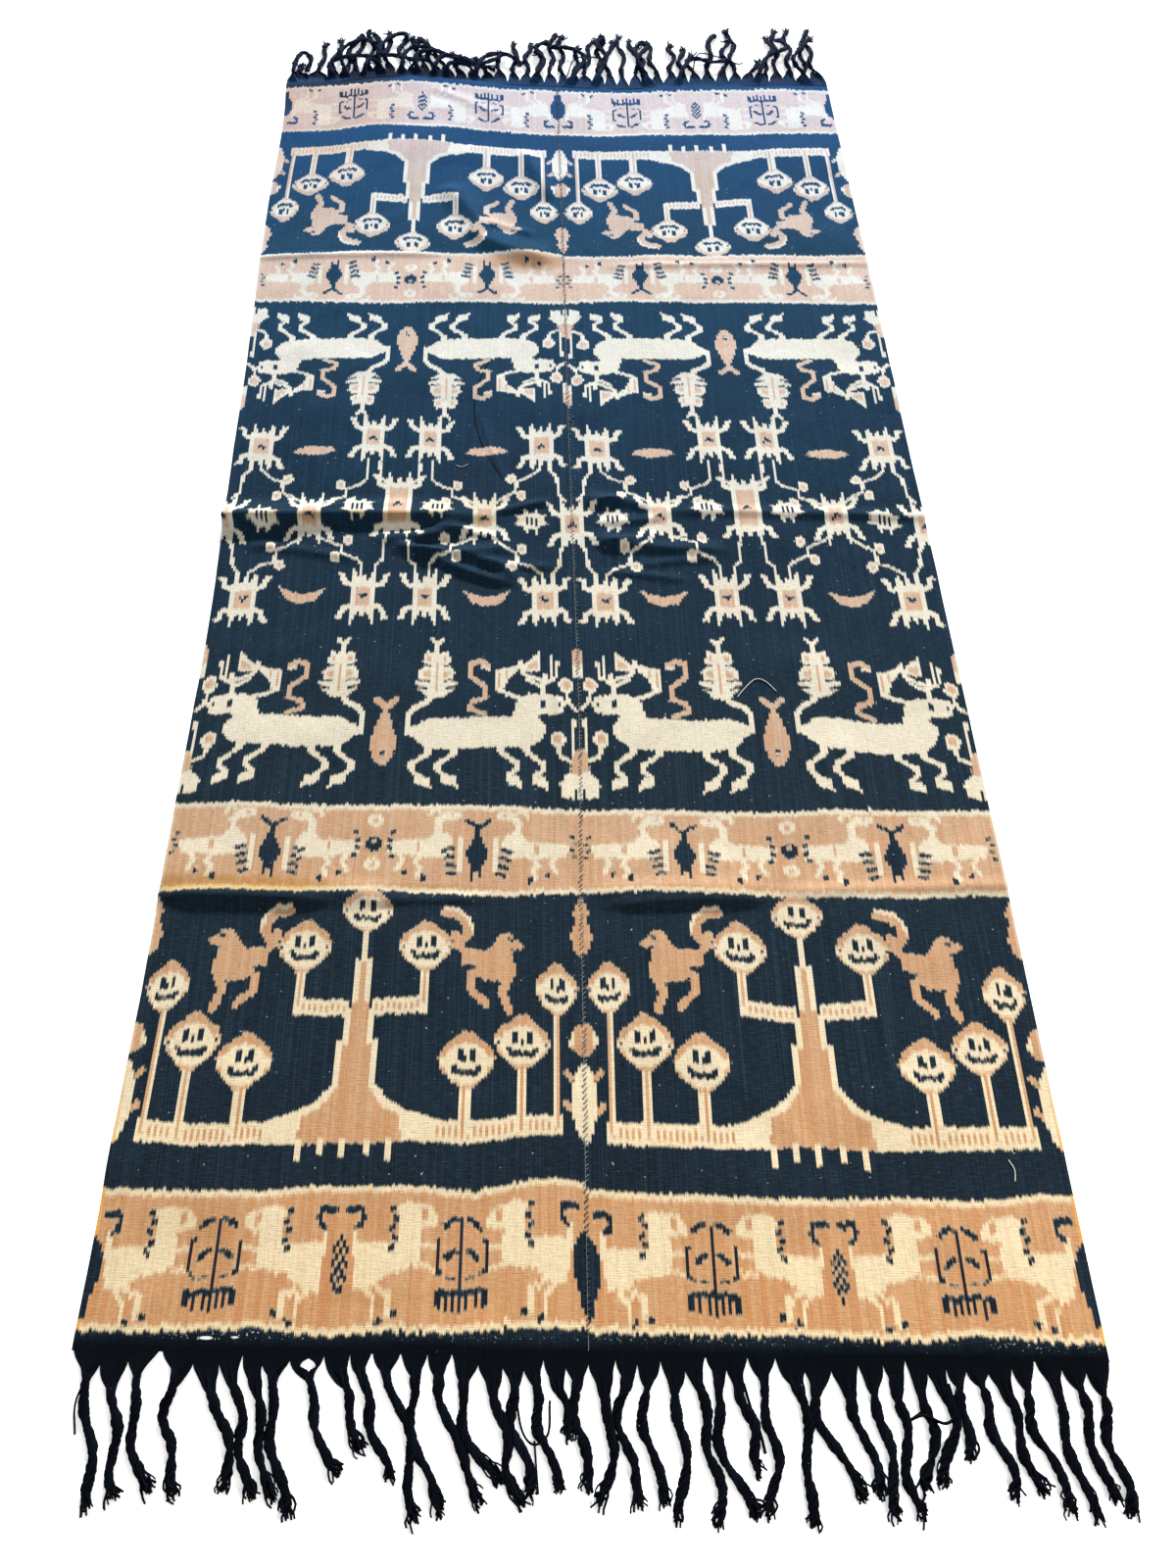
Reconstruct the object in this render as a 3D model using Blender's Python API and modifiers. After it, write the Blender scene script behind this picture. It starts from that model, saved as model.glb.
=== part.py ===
"""Ikat throw laid flat: two loom widths sewn side by side, with a twisted warp fringe at each end.

Metres, +Z up, with the origin on the floor under the middle of the outline, fringes included. +X runs
across the throw and +Y along its warp, towards the far end. Places on the cloth are given as x across
and v along the warp, from the middle of the weave.
"""
import math
from collections import namedtuple

import bmesh
import bpy
from mathutils import Vector

MM = 0.001

# The cloth
CLOTH_HALF_LENGTH = 1.256
CLOTH_THICK = 0.0015
STRIP_DEPTH = 0.025
SEAM_GAP = 0.0003
END_GAP = 0.0014
SKEW = 0.040
WEAVE_MIDDLE_Y = -0.022

# Tassels, from a flat fan at the root to a twisted cord and a frayed tip
FAN_LENGTH = 0.030
CORD_WIDTH = 0.009
CORD_THICK = 0.0065
TIP_WIDTH = 0.013
TIP_THICK = 0.004
TOP_SHARE = 0.62
NOTCH = 0.003
FAN_STATIONS = (0.4, 1.0)
CORD_STATIONS = (0.3, 0.6, 0.82, 1.0)

# Columns of each panel's mesh, and its rows, which both panels share so that they meet at the seam
COLUMNS = 13
COARSE_ROW = 0.085
Zone = namedtuple("Zone", "start end step")
ROW_ZONES = (Zone(-0.73, -0.64, 0.018), Zone(-0.155, 0.080, 0.013), Zone(0.58, 1.03, 0.034))

EdgePoint = namedtuple("EdgePoint", "v x")
LEFT_SELVEDGE = (
    EdgePoint(-1.30, -0.612),
    EdgePoint(-1.08, -0.606),
    EdgePoint(-0.70, -0.596),
    EdgePoint(-0.20, -0.587),
    EdgePoint(0.25, -0.593),
    EdgePoint(0.85, -0.602),
    EdgePoint(1.10, -0.598),
    EdgePoint(1.30, -0.606),
)
SEAM = (
    EdgePoint(-1.30, -0.006),
    EdgePoint(-0.75, -0.001),
    EdgePoint(-0.40, 0.005),
    EdgePoint(0.40, 0.001),
    EdgePoint(1.30, -0.002),
)
RIGHT_SELVEDGE = (
    EdgePoint(-1.30, 0.599),
    EdgePoint(-0.60, 0.602),
    EdgePoint(0.50, 0.600),
    EdgePoint(1.30, 0.597),
)

# Where the warp lies longer or shorter towards the far end
Slack = namedtuple("Slack", "x spread reach")
FAR_SLACK = (Slack(-0.350, 0.150, 0.034), Slack(0.130, 0.130, -0.014))
SLACK_START = 0.50
SLACK_FULL = 1.15

# A wrinkle runs from one end to the other, bowed sideways. The near share of its width is its steep side.
Wrinkle = namedtuple("Wrinkle", "x0 v0 x1 v1 height width bow near_share")
WRINKLES = (
    Wrinkle(-0.70, -0.002, -0.10, 0.006, 0.0140, 0.080, 0.004, 0.35),
    Wrinkle(-0.34, -0.045, -0.17, 0.004, 0.0060, 0.042, -0.010, 0.50),
    Wrinkle(-0.32, -0.055, -0.08, -0.052, 0.0060, 0.044, -0.018, 0.45),
    Wrinkle(-0.21, -0.072, -0.08, -0.135, 0.0060, 0.050, 0.016, 0.50),
    Wrinkle(0.01, 0.052, 0.15, 0.028, 0.0060, 0.046, 0.004, 0.45),
    Wrinkle(0.01, -0.028, 0.28, -0.062, 0.0070, 0.050, -0.012, 0.45),
    Wrinkle(-0.64, -0.690, -0.22, -0.688, 0.0050, 0.060, 0.003, 0.50),
    Wrinkle(0.00, -0.684, 0.28, -0.676, 0.0050, 0.060, 0.002, 0.50),
    Wrinkle(-0.25, 0.900, -0.15, 0.735, 0.0100, 0.110, 0.010, 0.45),
    Wrinkle(-0.20, 0.765, -0.01, 0.665, 0.0090, 0.100, -0.014, 0.40),
    Wrinkle(-0.085, 1.035, -0.025, 0.850, 0.0080, 0.080, 0.006, 0.50),
)
WRINKLE_TAPER = 0.22

# One row a tassel, in millimetres: its root's x, how far it bows and drifts sideways, and its reach.
Tassel = namedtuple("Tassel", "root bow drift reach")
NEAR_LEFT = (
    Tassel(-592, 0, 35, 140), Tassel(-558, -6, 19, 129), Tassel(-530, -13, 32, 122),
    Tassel(-482, -12, 22, 128), Tassel(-452, 6, 38, 120), Tassel(-422, 0, 29, 126),
    Tassel(-398, 0, 32, 128), Tassel(-376, -1, 31, 142), Tassel(-333, -4, 48, 103),
    Tassel(-298, 5, 36, 82), Tassel(-272, 2, 37, 108), Tassel(-245, 9, 36, 148),
    Tassel(-207, -9, 35, 138), Tassel(-181, -15, 53, 130), Tassel(-151, -16, 41, 108),
    Tassel(-119, -2, 34, 130), Tassel(-94, -4, 27, 123), Tassel(-70, 0, 28, 118),
    Tassel(-46, -1, 8, 66), Tassel(-19, -6, 11, 115),
)
NEAR_RIGHT = (
    Tassel(12, 6, -7, 128), Tassel(38, -14, 20, 130), Tassel(63, -9, 12, 128),
    Tassel(92, 2, 1, 143), Tassel(119, 2, 12, 146), Tassel(142, -10, 30, 138),
    Tassel(165, -3, 20, 98), Tassel(192, 8, 7, 135), Tassel(230, 11, -2, 146),
    Tassel(258, -19, 42, 120), Tassel(291, 0, 23, 116), Tassel(322, -4, 10, 138),
    Tassel(349, -7, 1, 136), Tassel(374, 5, -8, 112), Tassel(397, 11, -14, 106),
    Tassel(419, 5, -9, 80), Tassel(442, 5, 25, 120), Tassel(470, -2, 22, 113),
    Tassel(497, -7, 31, 130), Tassel(527, 3, 21, 136), Tassel(556, 2, 16, 118),
    Tassel(582, 0, 7, 133),
)
FAR_LEFT = (
    Tassel(-586, 0, -4, 95), Tassel(-530, -11, 6, 130), Tassel(-503, -4, 14, 140),
    Tassel(-479, -2, 16, 140), Tassel(-456, 0, 16, 150), Tassel(-430, 6, 3, 162),
    Tassel(-403, 6, -6, 148), Tassel(-377, -6, -3, 150), Tassel(-352, 0, -2, 116),
    Tassel(-325, 4, -8, 130), Tassel(-299, -2, -14, 128), Tassel(-272, -2, -22, 120),
    Tassel(-244, 0, -28, 82), Tassel(-216, 0, -32, 78), Tassel(-188, 0, -32, 72),
    Tassel(-158, 0, -14, 70), Tassel(-127, 6, -12, 96), Tassel(-98, -4, 4, 140),
    Tassel(-71, 0, 2, 136), Tassel(-44, 4, -2, 108), Tassel(-17, -5, 8, 178),
)
FAR_RIGHT = (
    Tassel(12, -4, 5, 172), Tassel(37, -8, 12, 130), Tassel(61, -12, 26, 168),
    Tassel(90, 0, 19, 180), Tassel(117, -6, 12, 160), Tassel(145, 0, -1, 182),
    Tassel(172, 8, -8, 160), Tassel(197, 2, -12, 148), Tassel(222, 5, -18, 152),
    Tassel(250, 4, 18, 140), Tassel(278, 2, 6, 120), Tassel(304, 0, -2, 98),
    Tassel(336, -8, 26, 172), Tassel(367, 0, 12, 150), Tassel(394, 0, 5, 192),
    Tassel(424, 4, 20, 70), Tassel(456, 6, 30, 160), Tassel(486, 3, 20, 188),
    Tassel(515, 3, 12, 190), Tassel(545, 5, 6, 140), Tassel(573, 0, 6, 190),
)

Finish = namedtuple("Finish", "color roughness")
PANEL_FINISH = Finish((0.16, 0.15, 0.16), 0.92)
FRINGE_FINISH = Finish((0.010, 0.018, 0.034), 0.90)


def smooth(t):
    """Ease from 0 to 1, held at both ends."""
    t = min(max(t, 0.0), 1.0)
    return t * t * (3 - 2 * t)


def mix(a, b, t):
    return a + (b - a) * t


def edge_x(points, v):
    """The x of a selvedge or the seam at v, eased from one listed point to the next."""
    for low, high in zip(points, points[1:]):
        if v <= high.v:
            return mix(low.x, high.x, smooth((v - low.v) / (high.v - low.v)))
    return points[-1].x


def panel_edges(side, v):
    """The lowest and highest x of one loom width at v, a hair short of the seam."""
    seam = edge_x(SEAM, v)
    if side == "left":
        return edge_x(LEFT_SELVEDGE, v), seam - SEAM_GAP / 2
    return seam + SEAM_GAP / 2, edge_x(RIGHT_SELVEDGE, v)


def wrinkle_height(wrinkle, x, v):
    """Height of one wrinkle at a place on the cloth, zero beyond its ends and sides."""
    run = Vector((wrinkle.x1 - wrinkle.x0, wrinkle.v1 - wrinkle.v0))
    place = Vector((x - wrinkle.x0, v - wrinkle.v0))
    along = place.dot(run) / run.length_squared
    if not 0 < along < 1:
        return 0.0
    across = (run.x * place.y - run.y * place.x) / run.length
    across -= wrinkle.bow * 4 * along * (1 - along)
    share = wrinkle.near_share if across < 0 else 1 - wrinkle.near_share
    ratio = abs(across) / (wrinkle.width * share)
    if ratio >= 1:
        return 0.0
    taper = smooth(along / WRINKLE_TAPER) * smooth((1 - along) / WRINKLE_TAPER)
    return wrinkle.height * taper * math.cos(ratio * math.pi / 2) ** 2


def lay(x, v, z=0.0):
    """Where a place on the cloth lies: the weft is a little askew, and the far warp uneven."""
    slack = 0.0
    for part in FAR_SLACK:
        slack += part.reach * math.exp(-((x - part.x) / part.spread) ** 2)
    slack *= smooth((v - SLACK_START) / (SLACK_FULL - SLACK_START))
    return Vector((x, v + slack - SKEW * x + WEAVE_MIDDLE_Y, z))


def lay_on_strip(side, x, v):
    """The same on an end strip, whose edge follows the straight facets of the panel's end."""
    low, high = panel_edges(side, math.copysign(CLOTH_HALF_LENGTH, v))
    place = (x - low) / (high - low) * COLUMNS
    column = min(max(math.floor(place), 0), COLUMNS - 1)
    start = lay(mix(low, high, column / COLUMNS), v)
    stop = lay(mix(low, high, (column + 1) / COLUMNS), v)
    return start.lerp(stop, place - column)


def row_lines():
    """The v of every row of a panel's mesh, close together only where the cloth is wrinkled."""
    stops = [(-CLOTH_HALF_LENGTH, COARSE_ROW)]
    for zone in ROW_ZONES:
        stops += [(zone.start, zone.step), (zone.end, COARSE_ROW)]
    stops.append((CLOTH_HALF_LENGTH, COARSE_ROW))
    lines = [stops[0][0]]
    for (start, step), (end, _) in zip(stops, stops[1:]):
        count = max(1, round((end - start) / step))
        lines += [mix(start, end, (k + 1) / count) for k in range(count)]
    return lines


def new_object(name, bm, finish, collection):
    """Write a mesh into a named object with its own material."""
    mesh = bpy.data.meshes.new(name)
    bm.to_mesh(mesh)
    bm.free()
    obj = bpy.data.objects.new(name, mesh)
    collection.objects.link(obj)
    material = bpy.data.materials.new(name)
    material.use_nodes = True
    shader = material.node_tree.nodes["Principled BSDF"]
    shader.inputs["Base Color"].default_value = (*finish.color, 1.0)
    shader.inputs["Roughness"].default_value = finish.roughness
    shader.inputs["Metallic"].default_value = 0.0
    mesh.materials.append(material)
    return obj


def make_panel(side, collection):
    """One loom width: a grid laid over the wrinkles, thickened upwards from the floor."""
    lines = row_lines()
    rows = len(lines) - 1
    bm = bmesh.new()
    bmesh.ops.create_grid(bm, x_segments=COLUMNS, y_segments=rows, size=0.5)
    for vert in bm.verts:
        v = lines[round((vert.co.y + 0.5) * rows)]
        low, high = panel_edges(side, v)
        x = mix(low, high, vert.co.x + 0.5)
        vert.co = lay(x, v, sum(wrinkle_height(wrinkle, x, v) for wrinkle in WRINKLES))
    obj = new_object(f"panel_{side}", bm, PANEL_FINISH, collection)
    thicken = obj.modifiers.new("Thickness", "SOLIDIFY")
    thicken.thickness = CLOTH_THICK
    thicken.offset = 1.0
    obj.data.shade_smooth()
    return obj


class Section:
    """A four-sided cut across a tassel, wider at the floor than on top."""

    def __init__(self, x, v, heading, width, thick):
        self.centre = lay(x, v)
        self.side = Vector((heading.y, -heading.x, 0)).normalized()
        self.half_width = width / 2
        self.thick = thick

    def corner(self, across, raised):
        reach = self.half_width * (TOP_SHARE if raised else 1.0)
        height = Vector((0, 0, self.thick if raised else 0.0))
        return self.centre + self.side * (reach * across) + height


def tassel_sections(tassel, end, root_width):
    """The cuts along one tassel, from the end of its fan-shaped root to its tip."""
    reach = tassel.reach * MM
    fan = min(FAN_LENGTH, reach * 0.4)
    distances = [fan * share for share in FAN_STATIONS]
    distances += [mix(fan, reach, share) for share in CORD_STATIONS]
    start = CLOTH_HALF_LENGTH + END_GAP + STRIP_DEPTH
    sections = []
    for distance in distances:
        s = distance / reach
        x = (tassel.root + tassel.drift * s + tassel.bow * math.sin(math.pi * s)) * MM
        slope = (tassel.drift + tassel.bow * math.pi * math.cos(math.pi * s)) * MM
        heading = Vector((slope, end * reach, 0))
        fanned = smooth(distance / fan)
        frayed = smooth((s - 0.75) / 0.25)
        width = mix(mix(root_width, CORD_WIDTH, fanned), TIP_WIDTH, frayed)
        thick = mix(mix(CLOTH_THICK, CORD_THICK, fanned), TIP_THICK, frayed)
        sections.append(Section(x, end * (start + distance), heading, width, thick))
    return sections


def root_spans(tassels, low, high):
    """The x where each tassel's root starts and stops along its strip, a notch apart."""
    roots = [tassel.root * MM for tassel in tassels]
    middles = [(a + b) / 2 for a, b in zip(roots, roots[1:])]
    starts = [low + NOTCH] + [middle + NOTCH / 2 for middle in middles]
    stops = [middle - NOTCH / 2 for middle in middles] + [high - NOTCH]
    return list(zip(starts, stops))


def make_fringe(name, tassels, end, side, collection):
    """A strip of the cloth's dark end, with its tassels drawn out of the strip's outer edge."""
    inner = CLOTH_HALF_LENGTH + END_GAP
    outer = inner + STRIP_DEPTH
    low, high = panel_edges(side, end * outer)
    spans = root_spans(tassels, low, high)
    lines = [low] + [x for span in spans for x in span] + [high]
    cells = len(lines) - 1
    bm = bmesh.new()
    bmesh.ops.create_grid(bm, x_segments=cells, y_segments=1, size=0.5)
    for vert in bm.verts:
        x = lines[round((vert.co.x + 0.5) * cells)]
        v = end * (outer if vert.co.y > 0 else inner)
        vert.co = lay_on_strip(side, x, v)
    sheet = bmesh.ops.extrude_face_region(bm, geom=bm.faces[:])
    lifted = [item for item in sheet["geom"] if isinstance(item, bmesh.types.BMVert)]
    bmesh.ops.translate(bm, vec=(0, 0, CLOTH_THICK), verts=lifted)
    bm.normal_update()
    edge_faces = [face for face in bm.faces if face.normal.z ** 2 < 0.5]
    for tassel, (start, stop) in zip(tassels, spans):
        middle = lay_on_strip(side, (start + stop) / 2, end * outer)
        middle.z = CLOTH_THICK / 2
        root = min(edge_faces, key=lambda face: (face.calc_center_median() - middle).length)
        edge_faces.remove(root)
        draw_out(bm, root, tassel_sections(tassel, end, stop - start), middle, end)
    bmesh.ops.recalc_face_normals(bm, faces=bm.faces[:])
    obj = new_object(name, bm, FRINGE_FINISH, collection)
    obj.data.shade_smooth()
    obj.data.set_sharp_from_angle(angle=math.radians(40))
    return obj


def draw_out(bm, face, sections, middle, end):
    """Extrude a strip's edge face through a tassel's sections, one after another."""
    side = Vector((end, 0, 0))
    mid_height = middle.z
    centre = middle
    for section in sections:
        face = bmesh.ops.extrude_discrete_faces(bm, faces=[face])["faces"][0]
        for vert in face.verts:
            across = 1 if (vert.co - centre).dot(side) > 0 else -1
            vert.co = section.corner(across, vert.co.z > mid_height)
        side = section.side
        centre = section.centre
        mid_height = section.thick / 2


def make_throw():
    for obj in list(bpy.data.objects):
        bpy.data.objects.remove(obj, do_unlink=True)
    collection = bpy.data.collections.new("ikat_throw")
    bpy.context.scene.collection.children.link(collection)
    for side in ("left", "right"):
        make_panel(side, collection)
    make_fringe("fringe_near_left", NEAR_LEFT, -1, "left", collection)
    make_fringe("fringe_near_right", NEAR_RIGHT, -1, "right", collection)
    make_fringe("fringe_far_left", FAR_LEFT, 1, "left", collection)
    make_fringe("fringe_far_right", FAR_RIGHT, 1, "right", collection)


make_throw()
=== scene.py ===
"""Looks of the ikat throw: dyed loom widths, twisted fringes, seam stitches, floor, light and camera.

Metres, +Z up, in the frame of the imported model. Places on the cloth are x across and v along the warp,
from the middle of the weave; the dyer's chart is in millimetres from the middle of a loom width.
"""
import math
from collections import namedtuple

import bmesh
import bpy
import numpy as np
from mathutils import Matrix, Vector


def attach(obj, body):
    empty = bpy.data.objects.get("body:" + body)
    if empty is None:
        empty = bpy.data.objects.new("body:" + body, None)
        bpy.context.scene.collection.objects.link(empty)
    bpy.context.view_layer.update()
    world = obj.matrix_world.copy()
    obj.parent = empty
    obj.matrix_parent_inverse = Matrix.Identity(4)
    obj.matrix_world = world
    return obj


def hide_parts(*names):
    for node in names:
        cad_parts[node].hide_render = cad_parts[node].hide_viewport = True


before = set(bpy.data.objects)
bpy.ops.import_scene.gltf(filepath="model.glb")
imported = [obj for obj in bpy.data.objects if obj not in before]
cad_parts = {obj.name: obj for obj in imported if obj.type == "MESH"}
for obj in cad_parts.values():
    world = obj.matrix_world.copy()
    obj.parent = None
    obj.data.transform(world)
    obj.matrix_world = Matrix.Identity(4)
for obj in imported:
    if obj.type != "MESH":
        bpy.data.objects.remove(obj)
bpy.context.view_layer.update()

MM = 0.001


def listed(kind, *rows):
    """The rows of a table as named tuples of one kind."""
    return tuple(kind(*row) for row in rows)


# The cloth, laid as its solids are
CLOTH_HALF_LENGTH = 1.256
CLOTH_THICK = 0.0015
STRIP_DEPTH = 0.025
SEAM_GAP = 0.0003
END_GAP = 0.0014
SKEW = 0.040
WEAVE_MIDDLE_Y = -0.022

EdgePoint = namedtuple("EdgePoint", "v x")
LEFT_SELVEDGE = listed(
    EdgePoint,
    (-1.30, -0.612),
    (-1.08, -0.606),
    (-0.70, -0.596),
    (-0.20, -0.587),
    (0.25, -0.593),
    (0.85, -0.602),
    (1.10, -0.598),
    (1.30, -0.606),
)
SEAM = listed(
    EdgePoint,
    (-1.30, -0.006),
    (-0.75, -0.001),
    (-0.40, 0.005),
    (0.40, 0.001),
    (1.30, -0.002),
)
RIGHT_SELVEDGE = listed(
    EdgePoint,
    (-1.30, 0.599),
    (-0.60, 0.602),
    (0.50, 0.600),
    (1.30, 0.597),
)

# Where the warp lies longer or shorter towards the far end
Slack = namedtuple("Slack", "x spread reach")
FAR_SLACK = listed(
    Slack,
    (-0.350, 0.150, 0.034), (0.130, 0.130, -0.014),
)
SLACK_START = 0.50
SLACK_FULL = 1.15

# A wrinkle runs from one end to the other, bowed sideways. The near share of its width is its steep side.
Wrinkle = namedtuple("Wrinkle", "x0 v0 x1 v1 height width bow near_share")
WRINKLES = listed(
    Wrinkle,
    (-0.70, -0.002, -0.10, 0.006, 0.0140, 0.080, 0.004, 0.35),
    (-0.34, -0.045, -0.17, 0.004, 0.0060, 0.042, -0.010, 0.50),
    (-0.32, -0.055, -0.08, -0.052, 0.0060, 0.044, -0.018, 0.45),
    (-0.21, -0.072, -0.08, -0.135, 0.0060, 0.050, 0.016, 0.50),
    (0.01, 0.052, 0.15, 0.028, 0.0060, 0.046, 0.004, 0.45),
    (0.01, -0.028, 0.28, -0.062, 0.0070, 0.050, -0.012, 0.45),
    (-0.64, -0.690, -0.22, -0.688, 0.0050, 0.060, 0.003, 0.50),
    (0.00, -0.684, 0.28, -0.676, 0.0050, 0.060, 0.002, 0.50),
    (-0.25, 0.900, -0.15, 0.735, 0.0100, 0.110, 0.010, 0.45),
    (-0.20, 0.765, -0.01, 0.665, 0.0090, 0.100, -0.014, 0.40),
    (-0.085, 1.035, -0.025, 0.850, 0.0080, 0.080, 0.006, 0.50),
)
WRINKLE_TAPER = 0.22
CREST_SHARPNESS = 0.5

# Shallow creases and puckers that only the fine cloth shows
CREASES = listed(
    Wrinkle,
    (-0.66, 0.672, -0.20, 0.684, 0.0034, 0.030, 0.002, 0.50),
    (0.05, 0.655, 0.66, 0.664, 0.0034, 0.030, -0.002, 0.50),
    (0.24, -0.680, 0.66, -0.664, 0.0032, 0.036, 0.002, 0.50),
    (0.12, 0.020, 0.66, 0.010, 0.0050, 0.040, 0.004, 0.45),
    (0.04, -0.110, 0.20, -0.128, 0.0034, 0.030, 0.004, 0.50),
    (-0.56, -0.055, -0.34, -0.090, 0.0038, 0.036, 0.006, 0.50),
    (-0.12, 0.430, -0.165, 0.230, 0.0024, 0.014, 0.006, 0.50),
    (-0.160, 0.270, -0.105, 0.080, 0.0024, 0.014, -0.006, 0.50),
    (-0.03, -0.30, -0.02, -0.60, 0.0026, 0.030, 0.003, 0.50),
    (0.03, 0.15, 0.04, 0.62, 0.0026, 0.030, 0.004, 0.50),
    (-0.30, 1.230, -0.10, 1.120, 0.0030, 0.060, 0.010, 0.50),
    (0.16, -0.92, 0.30, -1.06, 0.0014, 0.060, 0.010, 0.50),
    (-0.24, -0.015, -0.10, -0.045, 0.0040, 0.026, 0.004, 0.45),
    (-0.17, -0.085, -0.02, -0.098, 0.0040, 0.030, -0.006, 0.45),
    (0.03, -0.004, 0.17, 0.012, 0.0036, 0.028, -0.004, 0.45),
    (-0.44, 0.020, -0.26, 0.034, 0.0030, 0.034, 0.004, 0.45),
    (0.10, -0.100, 0.26, -0.082, 0.0034, 0.032, 0.006, 0.45),
    (-0.16, 0.780, -0.05, 0.740, 0.0040, 0.040, 0.006, 0.45),
    (-0.275, -0.050, -0.160, -0.016, 0.0070, 0.030, 0.002, 0.40),
    (-0.265, -0.055, -0.085, -0.138, 0.0065, 0.034, -0.012, 0.40),
    (-0.135, 0.012, -0.025, 0.044, 0.0050, 0.030, 0.002, 0.40),
    (-0.620, -0.006, -0.430, -0.006, 0.0060, 0.030, 0.002, 0.35),
    (-0.300, -0.050, -0.200, -0.072, 0.0050, 0.024, -0.004, 0.40),
    (0.020, 0.030, 0.110, 0.052, 0.0045, 0.026, 0.004, 0.40),
    (-0.620, -0.692, -0.330, -0.700, 0.0050, 0.036, 0.003, 0.40),
    (-0.310, -0.700, -0.120, -0.694, 0.0035, 0.030, 0.003, 0.40),
    (0.020, -0.704, 0.280, -0.692, 0.0045, 0.034, 0.004, 0.40),
    (0.030, -0.060, 0.160, -0.030, 0.0045, 0.030, 0.004, 0.40),
)
RIPPLE_HEIGHT = 0.0007
RIPPLE_LENGTHS = (0.34, 0.21, 0.13, 0.085, 0.055)
TOP_THICK = 0.0012

# Mesh of a loom width: underside cells, each split finer on top so that a column is one tied bundle of warp
CELLS_ACROSS = 38
CELLS_ALONG = 150
TOP_SPLITS = 4
BUNDLES = CELLS_ACROSS * TOP_SPLITS
BORDER_ANGLE = 1.2

# The dyer's chart, in millimetres: p across from the middle of a loom width, v along the warp
LOOM_WIDTH = 600.0
SELVEDGE = LOOM_WIDTH / 2
PAST_SELVEDGE = 340
BUNDLE_WIDTH = LOOM_WIDTH / BUNDLES
CHART_HALF = 1260
MIDDLE_BAND = (545, 684)
END_BAND = (1084, 1244)
CREAM_EDGE = 7
DARK, TAN, CREAM = range(3)
EDGE_REACH = 14.0
DYE_SEEDS = {"left": 21, "right": 22}
BUNDLE_SEED = 11
GOLDEN_BUNDLE = 2.0

# How far the tied warp drifts and each bundle slips, which changes from ROUGH_START to ROUGH_FULL
DRIFT_ALONG = 3.6
DRIFT_STEP = 140
DRIFT_BUNDLES = 24
BUNDLE_SLIP = 1.25
SLIP_STEP = 45
SLIP_MARGIN = 28
ROUGH_START = 1150
ROUGH_FULL = 1210
ROUGH_DRIFT = 0.5
ROUGH_SLIP = 1.9

# Where the pattern lies further along the warp than its chart, in millimetres
Hump = namedtuple("Hump", "side p v spread_p spread_v reach")
HUMPS = listed(Hump, ("left", 258, -1100, 80, 130, 20))

# One row a tassel, in millimetres: its root's x, how far it bows and drifts sideways, and its reach.
Tassel = namedtuple("Tassel", "root bow drift reach")
NEAR_LEFT = listed(
    Tassel,
    (-592, 0, 35, 140), (-558, -6, 19, 129), (-530, -13, 32, 122), (-482, -12, 22, 128),
    (-452, 6, 38, 120), (-422, 0, 29, 126), (-398, 0, 32, 128), (-376, -1, 31, 142),
    (-333, -4, 48, 103), (-298, 5, 36, 82), (-272, 2, 37, 108), (-245, 9, 36, 148),
    (-207, -9, 35, 138), (-181, -15, 53, 130), (-151, -16, 41, 108), (-119, -2, 34, 130),
    (-94, -4, 27, 123), (-70, 0, 28, 118), (-46, -1, 8, 66), (-19, -6, 11, 115),
)
NEAR_RIGHT = listed(
    Tassel,
    (12, 6, -7, 128), (38, -14, 20, 130), (63, -9, 12, 128), (92, 2, 1, 143), (119, 2, 12, 146),
    (142, -10, 30, 138), (165, -3, 20, 98), (192, 8, 7, 135), (230, 11, -2, 146),
    (258, -19, 42, 120), (291, 0, 23, 116), (322, -4, 10, 138), (349, -7, 1, 136),
    (374, 5, -8, 112), (397, 11, -14, 106), (419, 5, -9, 80), (442, 5, 25, 120), (470, -2, 22, 113),
    (497, -7, 31, 130), (527, 3, 21, 136), (556, 2, 16, 118), (582, 0, 7, 133),
)
FAR_LEFT = listed(
    Tassel,
    (-586, 0, -4, 50), (-530, -11, 6, 130), (-503, -4, 14, 140), (-479, -2, 16, 140),
    (-456, 0, 16, 150), (-430, 6, 3, 162), (-403, 6, -6, 148), (-377, -6, -3, 150),
    (-352, 0, -2, 116), (-325, 4, -8, 130), (-299, -2, -14, 128), (-272, -2, -22, 120),
    (-244, 0, -28, 82), (-216, 0, -32, 78), (-188, 0, -32, 72), (-158, 0, -14, 70),
    (-127, 6, -12, 96), (-98, -4, 4, 140), (-71, 0, 2, 136), (-44, 4, -2, 108), (-17, -5, 8, 178),
)
FAR_RIGHT = listed(
    Tassel,
    (12, -4, 5, 172), (37, -8, 12, 130), (61, -12, 26, 168), (90, 0, 19, 180), (117, -6, 12, 160),
    (145, 0, -1, 182), (172, 8, -8, 160), (197, 2, -12, 148), (222, 5, -18, 152), (250, 4, 18, 140),
    (278, 2, 6, 120), (304, 0, -2, 98), (336, -8, 26, 172), (367, 0, 12, 150), (394, 0, 5, 192),
    (424, 4, 20, 70), (456, 6, 30, 160), (486, 3, 20, 188), (515, 3, 12, 190), (545, 5, 6, 140),
    (573, 0, 6, 190),
)

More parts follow.
